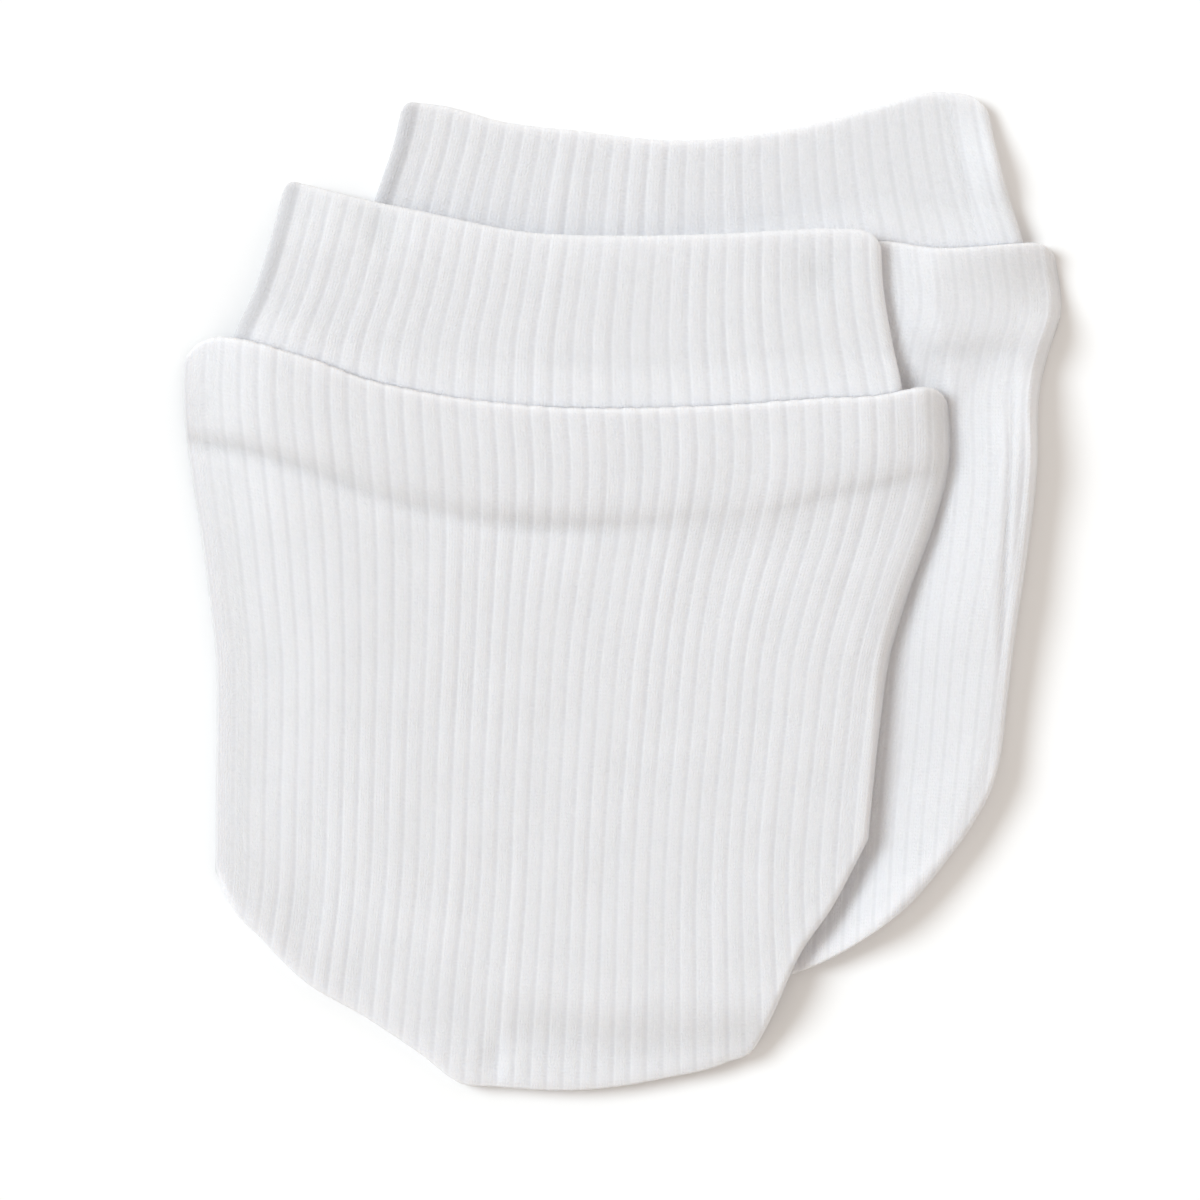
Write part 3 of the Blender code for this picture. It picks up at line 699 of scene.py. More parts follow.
# %% Ribs and their unevenness
RIB_POWER = 3.0           # the higher, the broader the rib and the narrower its groove
RIB_VARIES = 0.5          # how much a rib's height varies
DRIFT = 0.035             # how fast that height drifts from course to course
OWN_HEIGHTS = 400         # more than there are ribs in a piece
WANDER = 0.12             # how far the ribs wander sideways
WANDER_LENGTH = 18.0      # length of that ripple across the ribs
WANDER_DOWN = 0.6         # y counts this much, so the ripple is longer down the ribs
WANDER_EDGE = 8.0         # over this distance it dies away towards the side lines
SWELL = 0.06              # how far the cloth swells and sinks
SWELL_LENGTH = 9.0

# The low mitten's ribs are stretched and pressed. These are the shares of the full height that
# are left of them, down the hand and across the cuff.
LOW_HAND_RIBS = table("y height",
                      (-46.0, 0.7),
                      (-20.0, 0.35),
                      (10.0, 0.2),
                      (28.0, 0.15),
                      (42.0, 0.15))
LOW_CUFF_RIBS_DOWN = table("x height",
                           (-28.0, 1.0),
                           (18.0, 1.0),
                           (28.0, 0.5),
                           (34.0, 0.35),
                           (46.0, 0.35))


def rib_profile(place):
    """1 less the distance from the rib's middle, as a share of half its width, to a power."""
    return 1.0 - np.abs(2.0 * (place % 1.0) - 1.0) ** RIB_POWER


def rib_relief(knit, seed):
    """The profile times each rib's own share of the full height, which drifts slowly down
    its length."""
    own = np.random.default_rng(seed).uniform(-1.0, 1.0, OWN_HEIGHTS)
    place, course = knit[..., 0], knit[..., 1]
    number = np.floor(place).astype(int) % OWN_HEIGHTS
    drift = own[number] + np.sin(course * DRIFT + 9.0 * own[number])
    return rib_profile(place) * (1.0 + 0.5 * RIB_VARIES * drift)


def normals(points):
    """Unit normals of a grid of points: the cross product of its two directions."""
    over = np.gradient(points, axis=1)
    down = np.gradient(points, axis=0)
    normal = np.cross(down, over)
    return normal / np.maximum(np.linalg.norm(normal, axis=2, keepdims=True), 1e-9)


def courses_down(points):
    """How many courses of loops each point lies below the first row: the length of cloth
    down its column, over the height of a course."""
    step = np.linalg.norm(np.diff(points, axis=0), axis=2)
    return np.vstack([np.zeros(points.shape[1]), np.cumsum(step, axis=0)]) / COURSE


SECTION_POINTS = 2001     # the section's length is summed over this many points


def even_steps(width, radius, height):
    """A function that turns equal steps along a section's cloth into places across its plan:
    they draw together where the cloth turns down at both sides."""
    across = np.linspace(0.0, 1.0, SECTION_POINTS)
    rise = height * quarter_round(np.minimum(across, 1.0 - across) * width, radius)
    length = np.hypot(np.diff(across) * width, np.diff(rise))
    length = np.concatenate(([0.0], np.cumsum(length)))
    return lambda step: np.interp(step, length / length[-1], across)


# %% [markdown]
# ## Rows
#
# The mesh needs close rows where the cloth turns: over the lip, through the crease and round
# the tip. Over a round edge the rows follow its quarter circle in even angles.


# %% Rows of points
def round_rows(radius, count):
    """Distances from an edge at even angles round a quarter circle, without the last."""
    return radius * (1.0 - np.cos(np.linspace(0.0, np.pi / 2.0, count + 1)))[:-1]


def rows_down(near_mouth, between, near_foot):
    """Rows at fixed distances below the mouth, then even ones, then some close to the foot.
    Gives each row's fixed distance, and its share of the length that those leave."""
    last = near_mouth[-1]
    below = np.concatenate([near_mouth, np.full(between, last),
                            last + near_foot[0] - near_foot[1:]])
    share = np.concatenate([np.zeros(len(near_mouth)), np.arange(1, between + 1) / between,
                            np.ones(len(near_foot) - 1)])
    return below, share


# %% [markdown]
# ## Putting a closed wall together
#
# Each wall of cloth is one closed skin: the ribbed outside, a plain inside, and a rim that
# joins them. A `Patch` is a grid of point numbers together with each corner's place in the
# knit, counted in ribs and courses, which becomes the UV map that the material reads. The
# plain inside has one point for every few of the outside, so the rim is a row of small fans.


# %% Closed walls
class Patch:
    """A grid of points in a skin: their numbers, and their places in the knit."""

    def __init__(self, number, knit):
        self.number = number
        self.knit = knit

    def __getitem__(self, key):
        return Patch(self.number[key], self.knit[key])

    def edges(self):
        """Its four edges, clockwise as seen from above."""
        return self[0, :], self[:, -1], self[-1, ::-1], self[::-1, 0]


class Skin:
    """Points and faces of one closed wall while it is put together."""

    def __init__(self):
        self.points = []
        self.count = 0
        self.quads = []
        self.triangles = []

    def add(self, points, knit):
        """Add a grid of points and give it back as a patch."""
        number = self.count + np.arange(points[..., 0].size).reshape(points.shape[:2])
        self.points.append(points.reshape(-1, 3))
        self.count += number.size
        return Patch(number, knit)

    def face(self, group, *corners):
        """Faces whose corners are the same places of several patches."""
        group.append((np.stack([c.number.ravel() for c in corners], axis=1),
                      np.stack([c.knit.reshape(-1, 2) for c in corners], axis=1)))

    def sheet(self, patch, faces_up=True):
        """Quads between neighbouring rows and columns, facing up or down."""
        corners = (patch[:-1, :-1], patch[1:, :-1], patch[1:, 1:], patch[:-1, 1:])
        self.face(self.quads, *(corners if faces_up else corners[::-1]))

    def rim(self, fine, coarse, fine_is_upper=True):
        """Fans between a fine edge and a coarse one with a point for every k of its own. Each
        fine step goes to the nearest coarse point, and one triangle closes each change."""
        k = (len(fine.number) - 1) // (len(coarse.number) - 1)
        near = (np.arange(len(fine.number) - 1) + k // 2) // k
        turn = np.arange(len(coarse.number) - 1) * k + k - k // 2
        fans = (fine[:-1], fine[1:], coarse[near])
        gaps = (coarse[1:], coarse[:-1], fine[turn])
        for corners in (fans, gaps):
            self.face(self.triangles, *(corners if fine_is_upper else corners[::-1]))

    def make(self, name, material):
        """The finished object, smooth, with the knit's places as its UV map."""
        faces, knit = [], []
        for group in (self.quads, self.triangles):
            faces += [face for part, _ in group for face in part.tolist()]
            knit += [places.reshape(-1, 2) for _, places in group]
        mesh = bpy.data.meshes.new(name)
        mesh.from_pydata(np.concatenate(self.points) * MM, [], faces)
        layer = mesh.uv_layers.new(name="knit")
        layer.data.foreach_set("uv", np.concatenate(knit).astype(np.float32).ravel())
        mesh.shade_smooth()
        mesh.materials.append(material)
        item = bpy.data.objects.new(name, mesh)
        bpy.context.scene.collection.objects.link(item)
        triangles = sum(len(face) - 2 for face in faces)
        print(f"{name}: {self.count} points, {triangles} triangles")
        return item


# %% [markdown]
# ## The material: loops of cotton
#
# Seen close, each raised column of a knit is a ladder of small V shapes, the legs of its
# loops, and the sunken column between shows the loops' heads as small bars. They are far too
# many to model, so they are a bump, worked out from the UV map that counts ribs and courses.
# That effect is a node group of its own with named sockets, and so is the cotton's downy
# unevenness, because the materials of the hands and of the cuffs both use them.


# %% A small helper for node trees
class Graph:
    """Adds nodes to a tree and links them: a number or a socket may go in everywhere."""

    def __init__(self, tree):
        self.tree = tree

    def node(self, kind, inputs=(), **settings):
        node = self.tree.nodes.new(kind)
        for name, value in settings.items():
            setattr(node, name, value)
        for socket, value in dict(inputs).items():
            if isinstance(value, bpy.types.NodeSocket):
                self.tree.links.new(value, node.inputs[socket])
            else:
                node.inputs[socket].default_value = value
        return node

    def math(self, operation, *values):
        return self.node("ShaderNodeMath", enumerate(values), operation=operation).outputs[0]

    def mix(self, share, first, second):
        """A blend of two numbers: the first, plus the share of their difference."""
        return self.math("ADD", first,
                         self.math("MULTIPLY", share, self.math("SUBTRACT", second, first)))


def new_group(name, inputs, outputs):
    """An empty node group with named sockets: each input has a kind and a default."""
    tree = bpy.data.node_groups.new(name, "ShaderNodeTree")
    for socket, (kind, value) in inputs.items():
        made = tree.interface.new_socket(socket, in_out="INPUT", socket_type=kind)
        if value is not None:
            made.default_value = value
    for socket in outputs:
        tree.interface.new_socket(socket, in_out="OUTPUT", socket_type="NodeSocketFloat")
    graph = Graph(tree)
    return graph, graph.node("NodeGroupInput").outputs, graph.node("NodeGroupOutput").inputs


# %% The loops of the knit
def knit_loops():
    """Height of the loops from 0 to 1. Across a rib lie three columns: q is the place across
    a column. A raised column has two legs, each a hill over its half of q, cut into loops by
    a cosine whose phase climbs towards the column's middle, which draws the V. A sunken
    column has bars: one hill across, cut by a cosine without that slope. Two masks of painted
    shade go with it: one is 1 in the groove between two ribs, and the other over the first rib
    and a half, along the left edge."""
    graph, given, wanted = new_group(
        "KnitLoops",
        {"Knit": ("NodeSocketVector", None), "Slant": ("NodeSocketFloat", 0.45)},
        ["Height", "Groove Shade", "Seam"])
    parts = graph.node("ShaderNodeSeparateXYZ", {0: given["Knit"]}).outputs
    rib, course = parts["X"], parts["Y"]
    q = graph.math("FRACT", graph.math("MULTIPLY_ADD", rib, 3.0, 0.5))
    from_middle = graph.math("ABSOLUTE", graph.math("MULTIPLY_ADD", q, 2.0, -1.0))
    off_leg = graph.math("MULTIPLY_ADD", from_middle, 2.0, -1.0)
    leg = graph.math("SUBTRACT", 1.0, graph.math("MULTIPLY", off_leg, off_leg))
    phase = graph.math("ADD", course, graph.math("MULTIPLY", from_middle, given["Slant"]))
    loop = graph.math("COSINE", graph.math("MULTIPLY", phase, 2.0 * np.pi))
    stitch = graph.math("MULTIPLY", leg, graph.math("MULTIPLY_ADD", loop, 0.3, 0.7))
    bar = graph.math("COSINE", graph.math("MULTIPLY", course, 2.0 * np.pi))
    hill = graph.math("SUBTRACT", 1.0, graph.math("MULTIPLY", from_middle, from_middle))
    purl = graph.math("MULTIPLY", hill, graph.math("MULTIPLY_ADD", bar, 0.25, 0.35))
    off_groove = graph.math("ABSOLUTE", graph.math("SUBTRACT", graph.math("FRACT", rib), 0.5))
    groove = graph.math("GREATER_THAN", off_groove, 1.0 / 3.0)
    graph.tree.links.new(graph.mix(groove, stitch, purl), wanted["Height"])
    # mask of the painted shade in the grooves between the ribs
    groove_shade_mask = graph.node("ShaderNodeMapRange",
                      {"Value": off_groove, "From Min": 0.28, "From Max": 0.46},
                      interpolation_type="SMOOTHSTEP")
    graph.tree.links.new(groove_shade_mask.outputs[0], wanted["Groove Shade"])
    # mask of the painted shade over the first rib and a half, along the left edge
    edge_shade = graph.node("ShaderNodeMapRange",
                      {"Value": rib, "From Min": 0.6, "From Max": 1.5, "To Min": 1.0,
                       "To Max": 0.0}, interpolation_type="SMOOTHSTEP")
    graph.tree.links.new(edge_shade.outputs[0], wanted["Seam"])
    return graph.tree


# %% The cotton's down
def cotton_down():
    """Fine and broad unevenness of soft spun cotton, both from 0 to 1: noise on the object's
    own coordinates at two scales."""
    graph, given, wanted = new_group(
        "CottonDown",
        {"Place": ("NodeSocketVector", None), "Fine Scale": ("NodeSocketFloat", 2600.0),
         "Broad Scale": ("NodeSocketFloat", 400.0)},
        ["Fine", "Broad"])
    fine = graph.node("ShaderNodeTexNoise",
                      {"Vector": given["Place"], "Scale": given["Fine Scale"],
                       "Detail": 3.0, "Roughness": 0.6})
    broad = graph.node("ShaderNodeTexNoise",
                       {"Vector": given["Place"], "Scale": given["Broad Scale"],
                        "Detail": 2.0, "Roughness": 0.5})
    graph.tree.links.new(fine.outputs[0], wanted["Fine"])
    graph.tree.links.new(broad.outputs[0], wanted["Broad"])
    return graph.tree


# %% White knit, for the hands and for the cuffs
KNIT_WHITE = (0.834, 0.829, 0.850)
GROOVE_PAINTED_SHADE = 0.935      # painted shade in a groove, as a share of the rib's colour
LEFT_EDGE_PAINTED_SHADE = 0.75         # painted shade over the first rib at the left edge, which faces the light
VARIES = 0.03             # how much the white varies
LOOP_DEPTH = 0.07         # depth of the loops in the bump
DOWN_DEPTH = 0.09         # depth of the down
LIGHT_REACH = 0.0012      # how far light spreads inside the knit
FINISH = {"Roughness": 0.92, "Sheen Weight": 0.05, "Sheen Roughness": 0.5,
          "Subsurface Weight": 1.0, "Subsurface Radius": (1.0, 0.95, 0.9),
          "Subsurface Scale": LIGHT_REACH, "Specular IOR Level": 0.2}


def knit_material(name, loops, down):
    """White cotton knit. The colour is the white with painted shade in the grooves and along
    the left edge, and a little uneven, and the normal is a bump of the loops and the down
    together."""
    material = bpy.data.materials.new(name)
    material.use_nodes = True
    graph = Graph(material.node_tree)
    shader = material.node_tree.nodes["Principled BSDF"]
    for socket, value in FINISH.items():
        shader.inputs[socket].default_value = value
    place = graph.node("ShaderNodeTexCoord").outputs["Object"]
    knit = graph.node("ShaderNodeUVMap", uv_map="knit").outputs[0]
    yarn = graph.node("ShaderNodeGroup", node_tree=down)
    graph.tree.links.new(place, yarn.inputs["Place"])
    loop = graph.node("ShaderNodeGroup", node_tree=loops)
    graph.tree.links.new(knit, loop.inputs["Knit"])
    # painted shade in the grooves, made uneven by the broad down
    groove_shade_mask = graph.math("MULTIPLY", loop.outputs["Groove Shade"],
                      graph.math("ADD", yarn.outputs["Broad"], 0.5))
    shade = graph.math("MULTIPLY_ADD", groove_shade_mask, GROOVE_PAINTED_SHADE - 1.0, 1.0)
    # painted shade along the left edge, which faces the light
    edge_shade = graph.math("MULTIPLY_ADD", loop.outputs["Seam"], LEFT_EDGE_PAINTED_SHADE - 1.0, 1.0)
    shade = graph.math("MULTIPLY", shade, edge_shade)
    uneven = graph.math("MULTIPLY_ADD", yarn.outputs["Broad"], VARIES, 1.0 - VARIES / 2.0)
    speck = graph.math("MULTIPLY_ADD", yarn.outputs["Fine"], VARIES, 1.0 - VARIES / 2.0)
    value = graph.math("MULTIPLY", shade, graph.math("MULTIPLY", uneven, speck))
    color = graph.node("ShaderNodeVectorMath", {0: KNIT_WHITE}, operation="SCALE")
    graph.tree.links.new(value, color.inputs["Scale"])
    graph.tree.links.new(color.outputs[0], shader.inputs["Base Color"])
    height = graph.math("ADD", graph.math("MULTIPLY", loop.outputs["Height"], LOOP_DEPTH),
                        graph.math("MULTIPLY", yarn.outputs["Fine"], DOWN_DEPTH))
    bump = graph.node("ShaderNodeBump", {"Strength": 1.0, "Distance": MM, "Height": height})
    graph.tree.links.new(bump.outputs[0], shader.inputs["Normal"])
    return material


loops = knit_loops()
down = cotton_down()
hand_knit = knit_material("hand_knit", loops, down)
cuff_knit = knit_material("cuff_knit", loops, down)
print("materials:", hand_knit.name, cuff_knit.name)

# %% [markdown]
# ## The fronts of the hands
#
# The front is the largest piece. Its outside is worked out first without ribs, then measured
# for its courses and its normals, and then raised along them. The ribs fade towards the seams,
# where the sewing pulls the knit flat, and a wide band of the left side stays almost smooth.

# %% Fronts of the hands
LIP_ROWS = np.concatenate([round_rows(LIP_ROUND, 8), np.arange(LIP_ROUND, 20.0, 0.45)])
TIP_ROWS = np.concatenate([[2.0, 1.4, TIP_ROUND], round_rows(TIP_ROUND, 6)[::-1]])
HAND_ROW_STEP = 0.75      # between the even rows, about
SEAM_FADE = 1.0           # the ribs grow to full height over this distance from a seam
LIP_RIBS = 0.9            # share of the ribs' height that is left at the lip
TOP_SMOOTH_BAND = 6.4     # width of the almost smooth band on the left side
LOW_SMOOTH_BAND = 3.0
BAND_START = 0.55         # share of that width where the ribs start to rise


def wandered(outline, x, y, seed):
    """The columns moved sideways by a slow ripple, which ends at the side lines."""
    left, right, _, _ = outline.depths(x, y)
    keep = ramp(0.0, WANDER_EDGE, left) * ramp(0.0, WANDER_EDGE, right)
    return x + WANDER * keep * ripple(x, WANDER_DOWN * y, WANDER_LENGTH, seed)


def full_ribs(x, y):
    return np.ones_like(x)


def low_hand_ribs(x, y):
    return smooth(LOW_HAND_RIBS, "y", "height", y)


def low_cuff_ribs(x, y):
    return smooth(LOW_CUFF_RIBS_DOWN, "x", "height", x)


def hand_rows(hand, near_mouth, near_foot, row_step):
    """Rows down a hand, with so many even ones that a coarse row falls on the last row too."""
    length = hand.mouth(np.zeros(1)) - hand.foot(np.zeros(1))
    between = int(round(float(length[0] - near_mouth[-1] - near_foot[0]) / row_step))
    spare = (len(near_mouth) + between + len(near_foot) - 2) % COARSE
    return rows_down(near_mouth, between + (COARSE - spare) % COARSE, near_foot)


def make_hand_front(name, mitten, smooth_band, rib_share, seed, material):
    """The front as a closed wall: the base surface plus the ribs and the swell along its
    normals outside, and the same surface at the wall's thickness inside."""
    hand = mitten.hand
    spread = even_steps(hand.right(0.0) - hand.left(0.0), SIDE_ROUND, SIDE_RISE)
    steps = np.linspace(0.0, 1.0, HAND_RIBS * COLUMNS_A_RIB + 1)
    rows = hand_rows(hand, LIP_ROWS, TIP_ROWS, HAND_ROW_STEP)
    x, y = hand.place(spread(steps), rows)
    x = wandered(hand, x, y, seed)
    base = np.stack([x, y, mitten.hand_front(x, y)], axis=-1)
    knit = np.stack([np.broadcast_to(steps * HAND_RIBS, x.shape), courses_down(base)], axis=-1)
    left, right, foot, mouth = hand.depths(x, y)
    fade = ramp(0.0, SEAM_FADE, np.minimum(right, foot))
    fade = fade * ramp(BAND_START * smooth_band, smooth_band, left)
    fade = fade * (LIP_RIBS + (1.0 - LIP_RIBS) * ramp(0.0, LIP_ROUND, mouth))
    relief = RIB_HEIGHT * rib_share(x, y) * fade * rib_relief(knit, seed)
    relief = relief + SWELL * fade * ripple(x, y, SWELL_LENGTH, seed + 1)
    skin = Skin()
    outside = skin.add(base + normals(base) * relief[..., None], knit)
    skin.sheet(outside)
    below, share = rows
    x, y = hand.place(spread(steps[::COARSE]), (below[::COARSE], share[::COARSE]), HAND_WALL)
    inner = np.stack([x, y, mitten.hand_front(x, y, HAND_WALL)], axis=-1)
    inside = skin.add(inner, knit[::COARSE, ::COARSE])
    skin.sheet(inside, faces_up=False)
    for fine, coarse in zip(outside.edges(), inside.edges()):
        skin.rim(fine, coarse)
    return skin.make(name, material)


top_hand_front = make_hand_front("top_hand_front_cloth", top_mitten, TOP_SMOOTH_BAND,
                                 full_ribs, 11, hand_knit)
low_hand_front = make_hand_front("low_hand_front_cloth", low_mitten, LOW_SMOOTH_BAND,
                                 low_hand_ribs, 23, hand_knit)

# %% [markdown]
# ## The backs of the hands
#
# A back lies flat on what is under it, so its ribs are pressed out: from below they show as
# shallow grooves in a level face. Its edge turns up to the seam.

# %% Backs of the hands
GROOVE_DEPTH = 0.12       # of the pressed ribs
BACK_MOUTH_ROWS = np.concatenate([round_rows(SEAM_ROUND, 4), [SEAM_ROUND, 3.0]])
BACK_TIP_ROWS = np.concatenate([[SEAM_ROUND], round_rows(SEAM_ROUND, 4)[::-1]])
BACK_ROW_STEP = 1.2


def make_hand_back(name, mitten, seed, material):
    """The back as a closed wall: the underside with grooves cut upwards, and a plain inside."""
    hand = mitten.hand
    spread = even_steps(hand.right(0.0) - hand.left(0.0), SEAM_ROUND, SEAM_TURN)
    steps = np.linspace(0.0, 1.0, HAND_RIBS * COLUMNS_A_RIB + 1)
    rows = hand_rows(hand, BACK_MOUTH_ROWS, BACK_TIP_ROWS, BACK_ROW_STEP)
    x, y = hand.place(spread(steps), rows)
    x = wandered(hand, x, y, seed)
    base = np.stack([x, y, mitten.hand_back(x, y)[0]], axis=-1)
    knit = np.stack([np.broadcast_to(steps * HAND_RIBS, x.shape), courses_down(base)], axis=-1)
    fade = ramp(0.0, SEAM_FADE, hand.depth(x, y))
    base[..., 2] += GROOVE_DEPTH * fade * (1.0 - rib_profile(knit[..., 0]))
    skin = Skin()
    under = skin.add(base, knit)
    skin.sheet(under, faces_up=False)
    below, share = rows
    x, y = hand.place(spread(steps[::COARSE]), (below[::COARSE], share[::COARSE]))
    upper = np.stack([x, y, mitten.hand_back(x, y)[1]], axis=-1)
    over = skin.add(upper, knit[::COARSE, ::COARSE])
    skin.sheet(over)
    for fine, coarse in zip(under.edges(), over.edges()):
        skin.rim(fine, coarse, fine_is_upper=False)
    return skin.make(name, material)


top_hand_back = make_hand_back("top_hand_back_cloth", top_mitten, 37, hand_knit)
low_hand_back = make_hand_back("low_hand_back_cloth", low_mitten, 41, hand_knit)

# %% [markdown]
# ## The cuffs
#
# A cuff is a tube pressed flat, so its section is a closed ring: over the front from left to
# right, and back underneath. The ribs run round it without a break. At its rim the knit is
# folded, and there the ribs are stretched almost smooth.

# %% Cuffs
RIM_BAND = 1.7            # the plain band at the folded rim
RIM_RIBS = 0.4            # share of the ribs' height at the fold itself
RIM_ROWS = np.concatenate([round_rows(CUFF_WALL / 2.0, 5),
                           np.arange(CUFF_WALL / 2.0, 3.0, 0.4)])
CUFF_ROW_STEP = 0.5
CUFF_WIDTH_AT = 30.0      # the y where a cuff's width is taken for its even steps
PLAIN_ROWS = (0.5, 2.0)   # rows of the plain inside, by their distance from the rim
PLAIN_ROWS_BELOW = 10     # and even ones below them
BACK_RIBS = 0.5           # depth of the grooves on the side that lies down, as a share


def cuff_ring(mitten, around, rows, share):
    """Points of closed rings down the cuff. `around` runs from 0 to 1 over the front and from
    1 to 2 underneath, and `share` says for each row where it lies in the wall's thickness."""
    across = np.where(around <= 1.0, around, 2.0 - around)
    x, y = mitten.cuff.place(across, rows)
    share = np.broadcast_to(share[:, None], x.shape)
    inset = (1.0 - share) * CUFF_WALL
    x = x + inset * (1.0 - 2.0 * across)
    side = np.minimum(x - mitten.cuff.left(y), mitten.cuff.right(y) - x) - inset
    over, under = mitten.cuff_wall(x, y, np.clip(side, 0.0, None), share)
    return np.stack([x, y, np.where(around <= 1.0, over, under)], axis=-1)


def ring_normals(points):
    """Normals of closed rings: the ring is lengthened past both ends before it is measured."""
    longer = np.concatenate([points[:, -2:-1], points, points[:, 1:2]], axis=1)
    return normals(longer)[:, 1:-1]


def make_cuff(name, mitten, ribs, rib_share, seed, material):
    """The cuff as a closed wall: a ribbed tube outside, a plain one inside, joined at both
    ends. Its rim is half round."""
    cuff = mitten.cuff
    width = cuff.right(CUFF_WIDTH_AT) - cuff.left(CUFF_WIDTH_AT)
    spread = even_steps(width, CUFF_ROUND, CUFF_WALL)
    steps = np.linspace(0.0, 1.0, ribs * COLUMNS_A_RIB + 1)
    around = np.concatenate([spread(steps), 2.0 - spread(steps)[::-1][1:]])
    length = cuff.mouth(np.zeros(1)) - cuff.foot(np.zeros(1))
    between = int(round(float(length[0] - RIM_ROWS[-1]) / CUFF_ROW_STEP))
    rows = rows_down(RIM_ROWS, between, np.zeros(1))
    fold = 0.5 * quarter_round(rows[0], CUFF_WALL / 2.0)
    base = cuff_ring(mitten, around, rows, 0.5 + fold)
    turns = np.concatenate([steps, 2.0 - steps[::-1][1:]]) * ribs
    knit = np.stack([np.broadcast_to(turns, base.shape[:2]), courses_down(base)], axis=-1)
    below_rim = cuff.mouth(base[..., 0]) - base[..., 1]
    fade = RIM_RIBS + (1.0 - RIM_RIBS) * ramp(0.0, RIM_BAND, below_rim)
    under = np.where(around > 1.0, BACK_RIBS * fade * RIB_HEIGHT, 0.0)
    relief = RIB_HEIGHT * rib_share(base[..., 0], base[..., 1]) * fade * rib_relief(knit, seed)
    relief = np.where(around > 1.0, under * (rib_profile(knit[..., 0]) - 1.0), relief)
    outer = base + ring_normals(base) * relief[..., None]
    skin = Skin()
    outside = skin.add(outer[:, :-1], knit[:, :-1])
    outside = Patch(np.hstack([outside.number, outside.number[:, :1]]), knit)
    skin.sheet(outside)
    rows = rows_down(np.array(PLAIN_ROWS), PLAIN_ROWS_BELOW, np.zeros(1))
    inner = cuff_ring(mitten, around[::COARSE], rows, np.zeros(len(rows[0])))
    places = np.stack([np.broadcast_to(turns[::COARSE], inner.shape[:2]),
                       courses_down(inner)], axis=-1)
    inside = skin.add(inner[:, :-1], places[:, :-1])
    inside = Patch(np.hstack([inside.number, inside.number[:, :1]]), places)
    skin.sheet(inside, faces_up=False)
    skin.rim(outside[0], inside[0])
    skin.rim(outside[-1, ::-1], inside[-1, ::-1])
    return skin.make(name, material)


top_cuff_cloth = make_cuff("top_cuff_cloth", top_mitten, TOP_CUFF_RIBS, full_ribs, 53,
                           cuff_knit)
low_cuff_cloth = make_cuff("low_cuff_cloth", low_mitten, LOW_CUFF_RIBS, low_cuff_ribs, 67,
                           cuff_knit)

# %% [markdown]
# ## Handing the pieces to the frame
#
# Each cloth piece stands for its plain solid, which it hides, and rides on the one body of this
# part.

# %% Hand the pieces over
PIECES = (
    (top_hand_front, "top_hand_front", "hand_knit", (0.097, 0.090), 0.0078,
     ["top_hand_back", "top_cuff"]),
    (top_hand_back, "top_hand_back", "hand_knit", (0.094, 0.088), 0.0072,
     ["low_hand_front", "low_cuff", "table"]),
    (top_cuff_cloth, "top_cuff", "cuff_knit", (0.162, 0.030), None,
     ["top_hand_back", "low_hand_front", "low_cuff"]),
    (low_hand_front, "low_hand_front", "hand_knit", (0.093, 0.093), 0.0076,
     ["low_hand_back", "low_cuff"]),
    (low_hand_back, "low_hand_back", "hand_knit", (0.090, 0.090), 0.0071, ["table"]),
    (low_cuff_cloth, "low_cuff", "cuff_knit", (0.158, 0.028), None,
     ["low_hand_back", "table"]),
)
for piece, node, slot, flat, area, rests_on in PIECES:
    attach(piece, "root")
    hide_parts(node)

# %% [markdown]
# ## Table, light and camera
#
# Small clothes are shown from straight above on a white table. A broad light stands on the
# left, half way up the sky, and the white room around fills the shadows and softens every
# hollow. The light is a little blue and the room a little warm, so that the cloth is white in
# both together and the shadows are warm. The camera has a long lens, so that the heights of the
# cloth hardly move its outline.

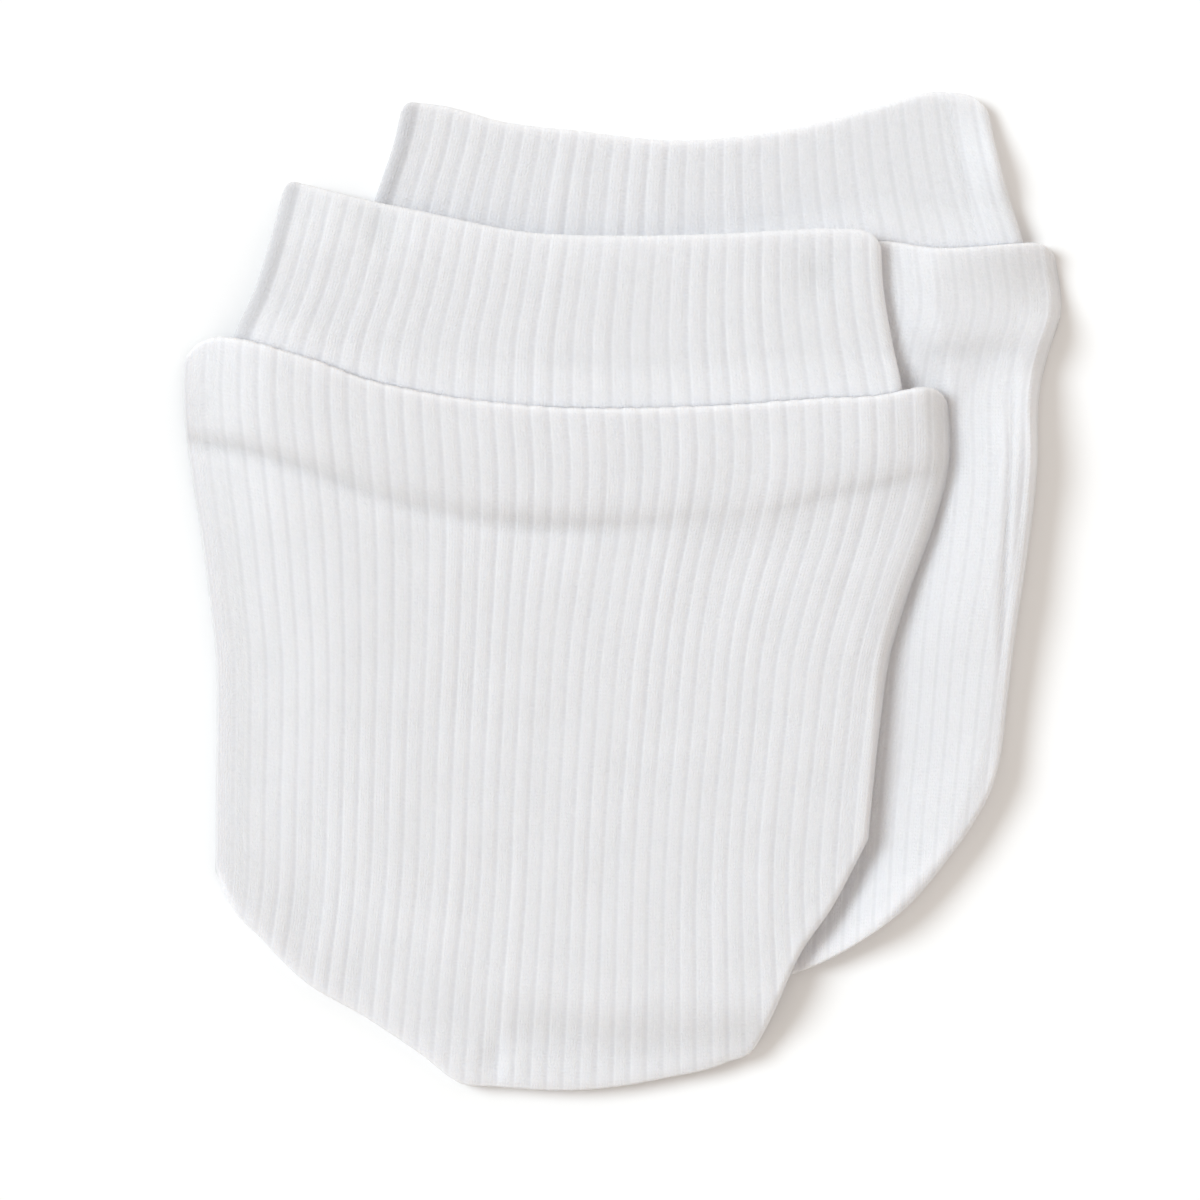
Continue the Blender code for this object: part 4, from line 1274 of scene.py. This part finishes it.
# %% The table
TABLE_SIZE = 3.0                   # in metres
PAPER_WHITE = (0.97, 0.965, 0.96, 1.0)
bpy.ops.mesh.primitive_plane_add(size=TABLE_SIZE, location=(0.0, 0.0, 0.0))
floor = bpy.context.object
floor.name = "table"
paper = bpy.data.materials.new("table_paper")
paper.use_nodes = True
paper_inputs = paper.node_tree.nodes["Principled BSDF"].inputs
paper_inputs["Base Color"].default_value = PAPER_WHITE
paper_inputs["Roughness"].default_value = 0.9
floor.data.materials.append(paper)

# %% The light
from mathutils import Vector

ROOM_STRENGTH = 0.55
ROOM_COLOUR = (1.085, 1.0, 0.918)
KEY = {"towards": (-0.65, 0.25, 0.72), "softness": 0.48, "strength": 1.99,
       "colour": (0.9, 1.0, 1.077)}
FILL = {"towards": (0.5, 0.5, 0.7), "softness": 0.9, "strength": 0.27,
        "colour": (1.0, 1.0, 1.0)}


def distant_light(name, towards, softness, strength, colour):
    """A light far away in a direction, with an angle in the sky in radians."""
    light = bpy.data.lights.new(name, "SUN")
    light.angle = softness
    light.energy = strength
    light.color = colour
    lamp = bpy.data.objects.new(name, light)
    lamp.rotation_euler = Vector(towards).to_track_quat("Z", "Y").to_euler()
    bpy.context.scene.collection.objects.link(lamp)


distant_light("key", **KEY)
distant_light("fill", **FILL)
world = bpy.data.worlds.new("white_room")
world.use_nodes = True
world.node_tree.nodes["Background"].inputs["Color"].default_value = (*ROOM_COLOUR, 1.0)
world.node_tree.nodes["Background"].inputs["Strength"].default_value = ROOM_STRENGTH
bpy.context.scene.world = world
bpy.context.scene.view_settings.view_transform = "Standard"

# %% The camera
VIEW_WIDTH = 144.0                 # width of the picture on the table, in mm
VIEW_CENTRE = (-2.64, -1.2, 5.0)   # the place that it looks at, in mm
LENS = 200.0
SENSOR = 36.0
camera_data = bpy.data.cameras.new("camera")
camera_data.lens = LENS
camera_data.sensor_width = SENSOR
camera = bpy.data.objects.new("camera", camera_data)
bpy.context.scene.collection.objects.link(camera)
distance = VIEW_WIDTH * LENS / SENSOR
camera.location = (VIEW_CENTRE[0] * MM, VIEW_CENTRE[1] * MM, (VIEW_CENTRE[2] + distance) * MM)
camera_data.clip_end = 10.0        # in metres
bpy.context.scene.camera = camera
print("camera height in mm:", round(distance, 1))
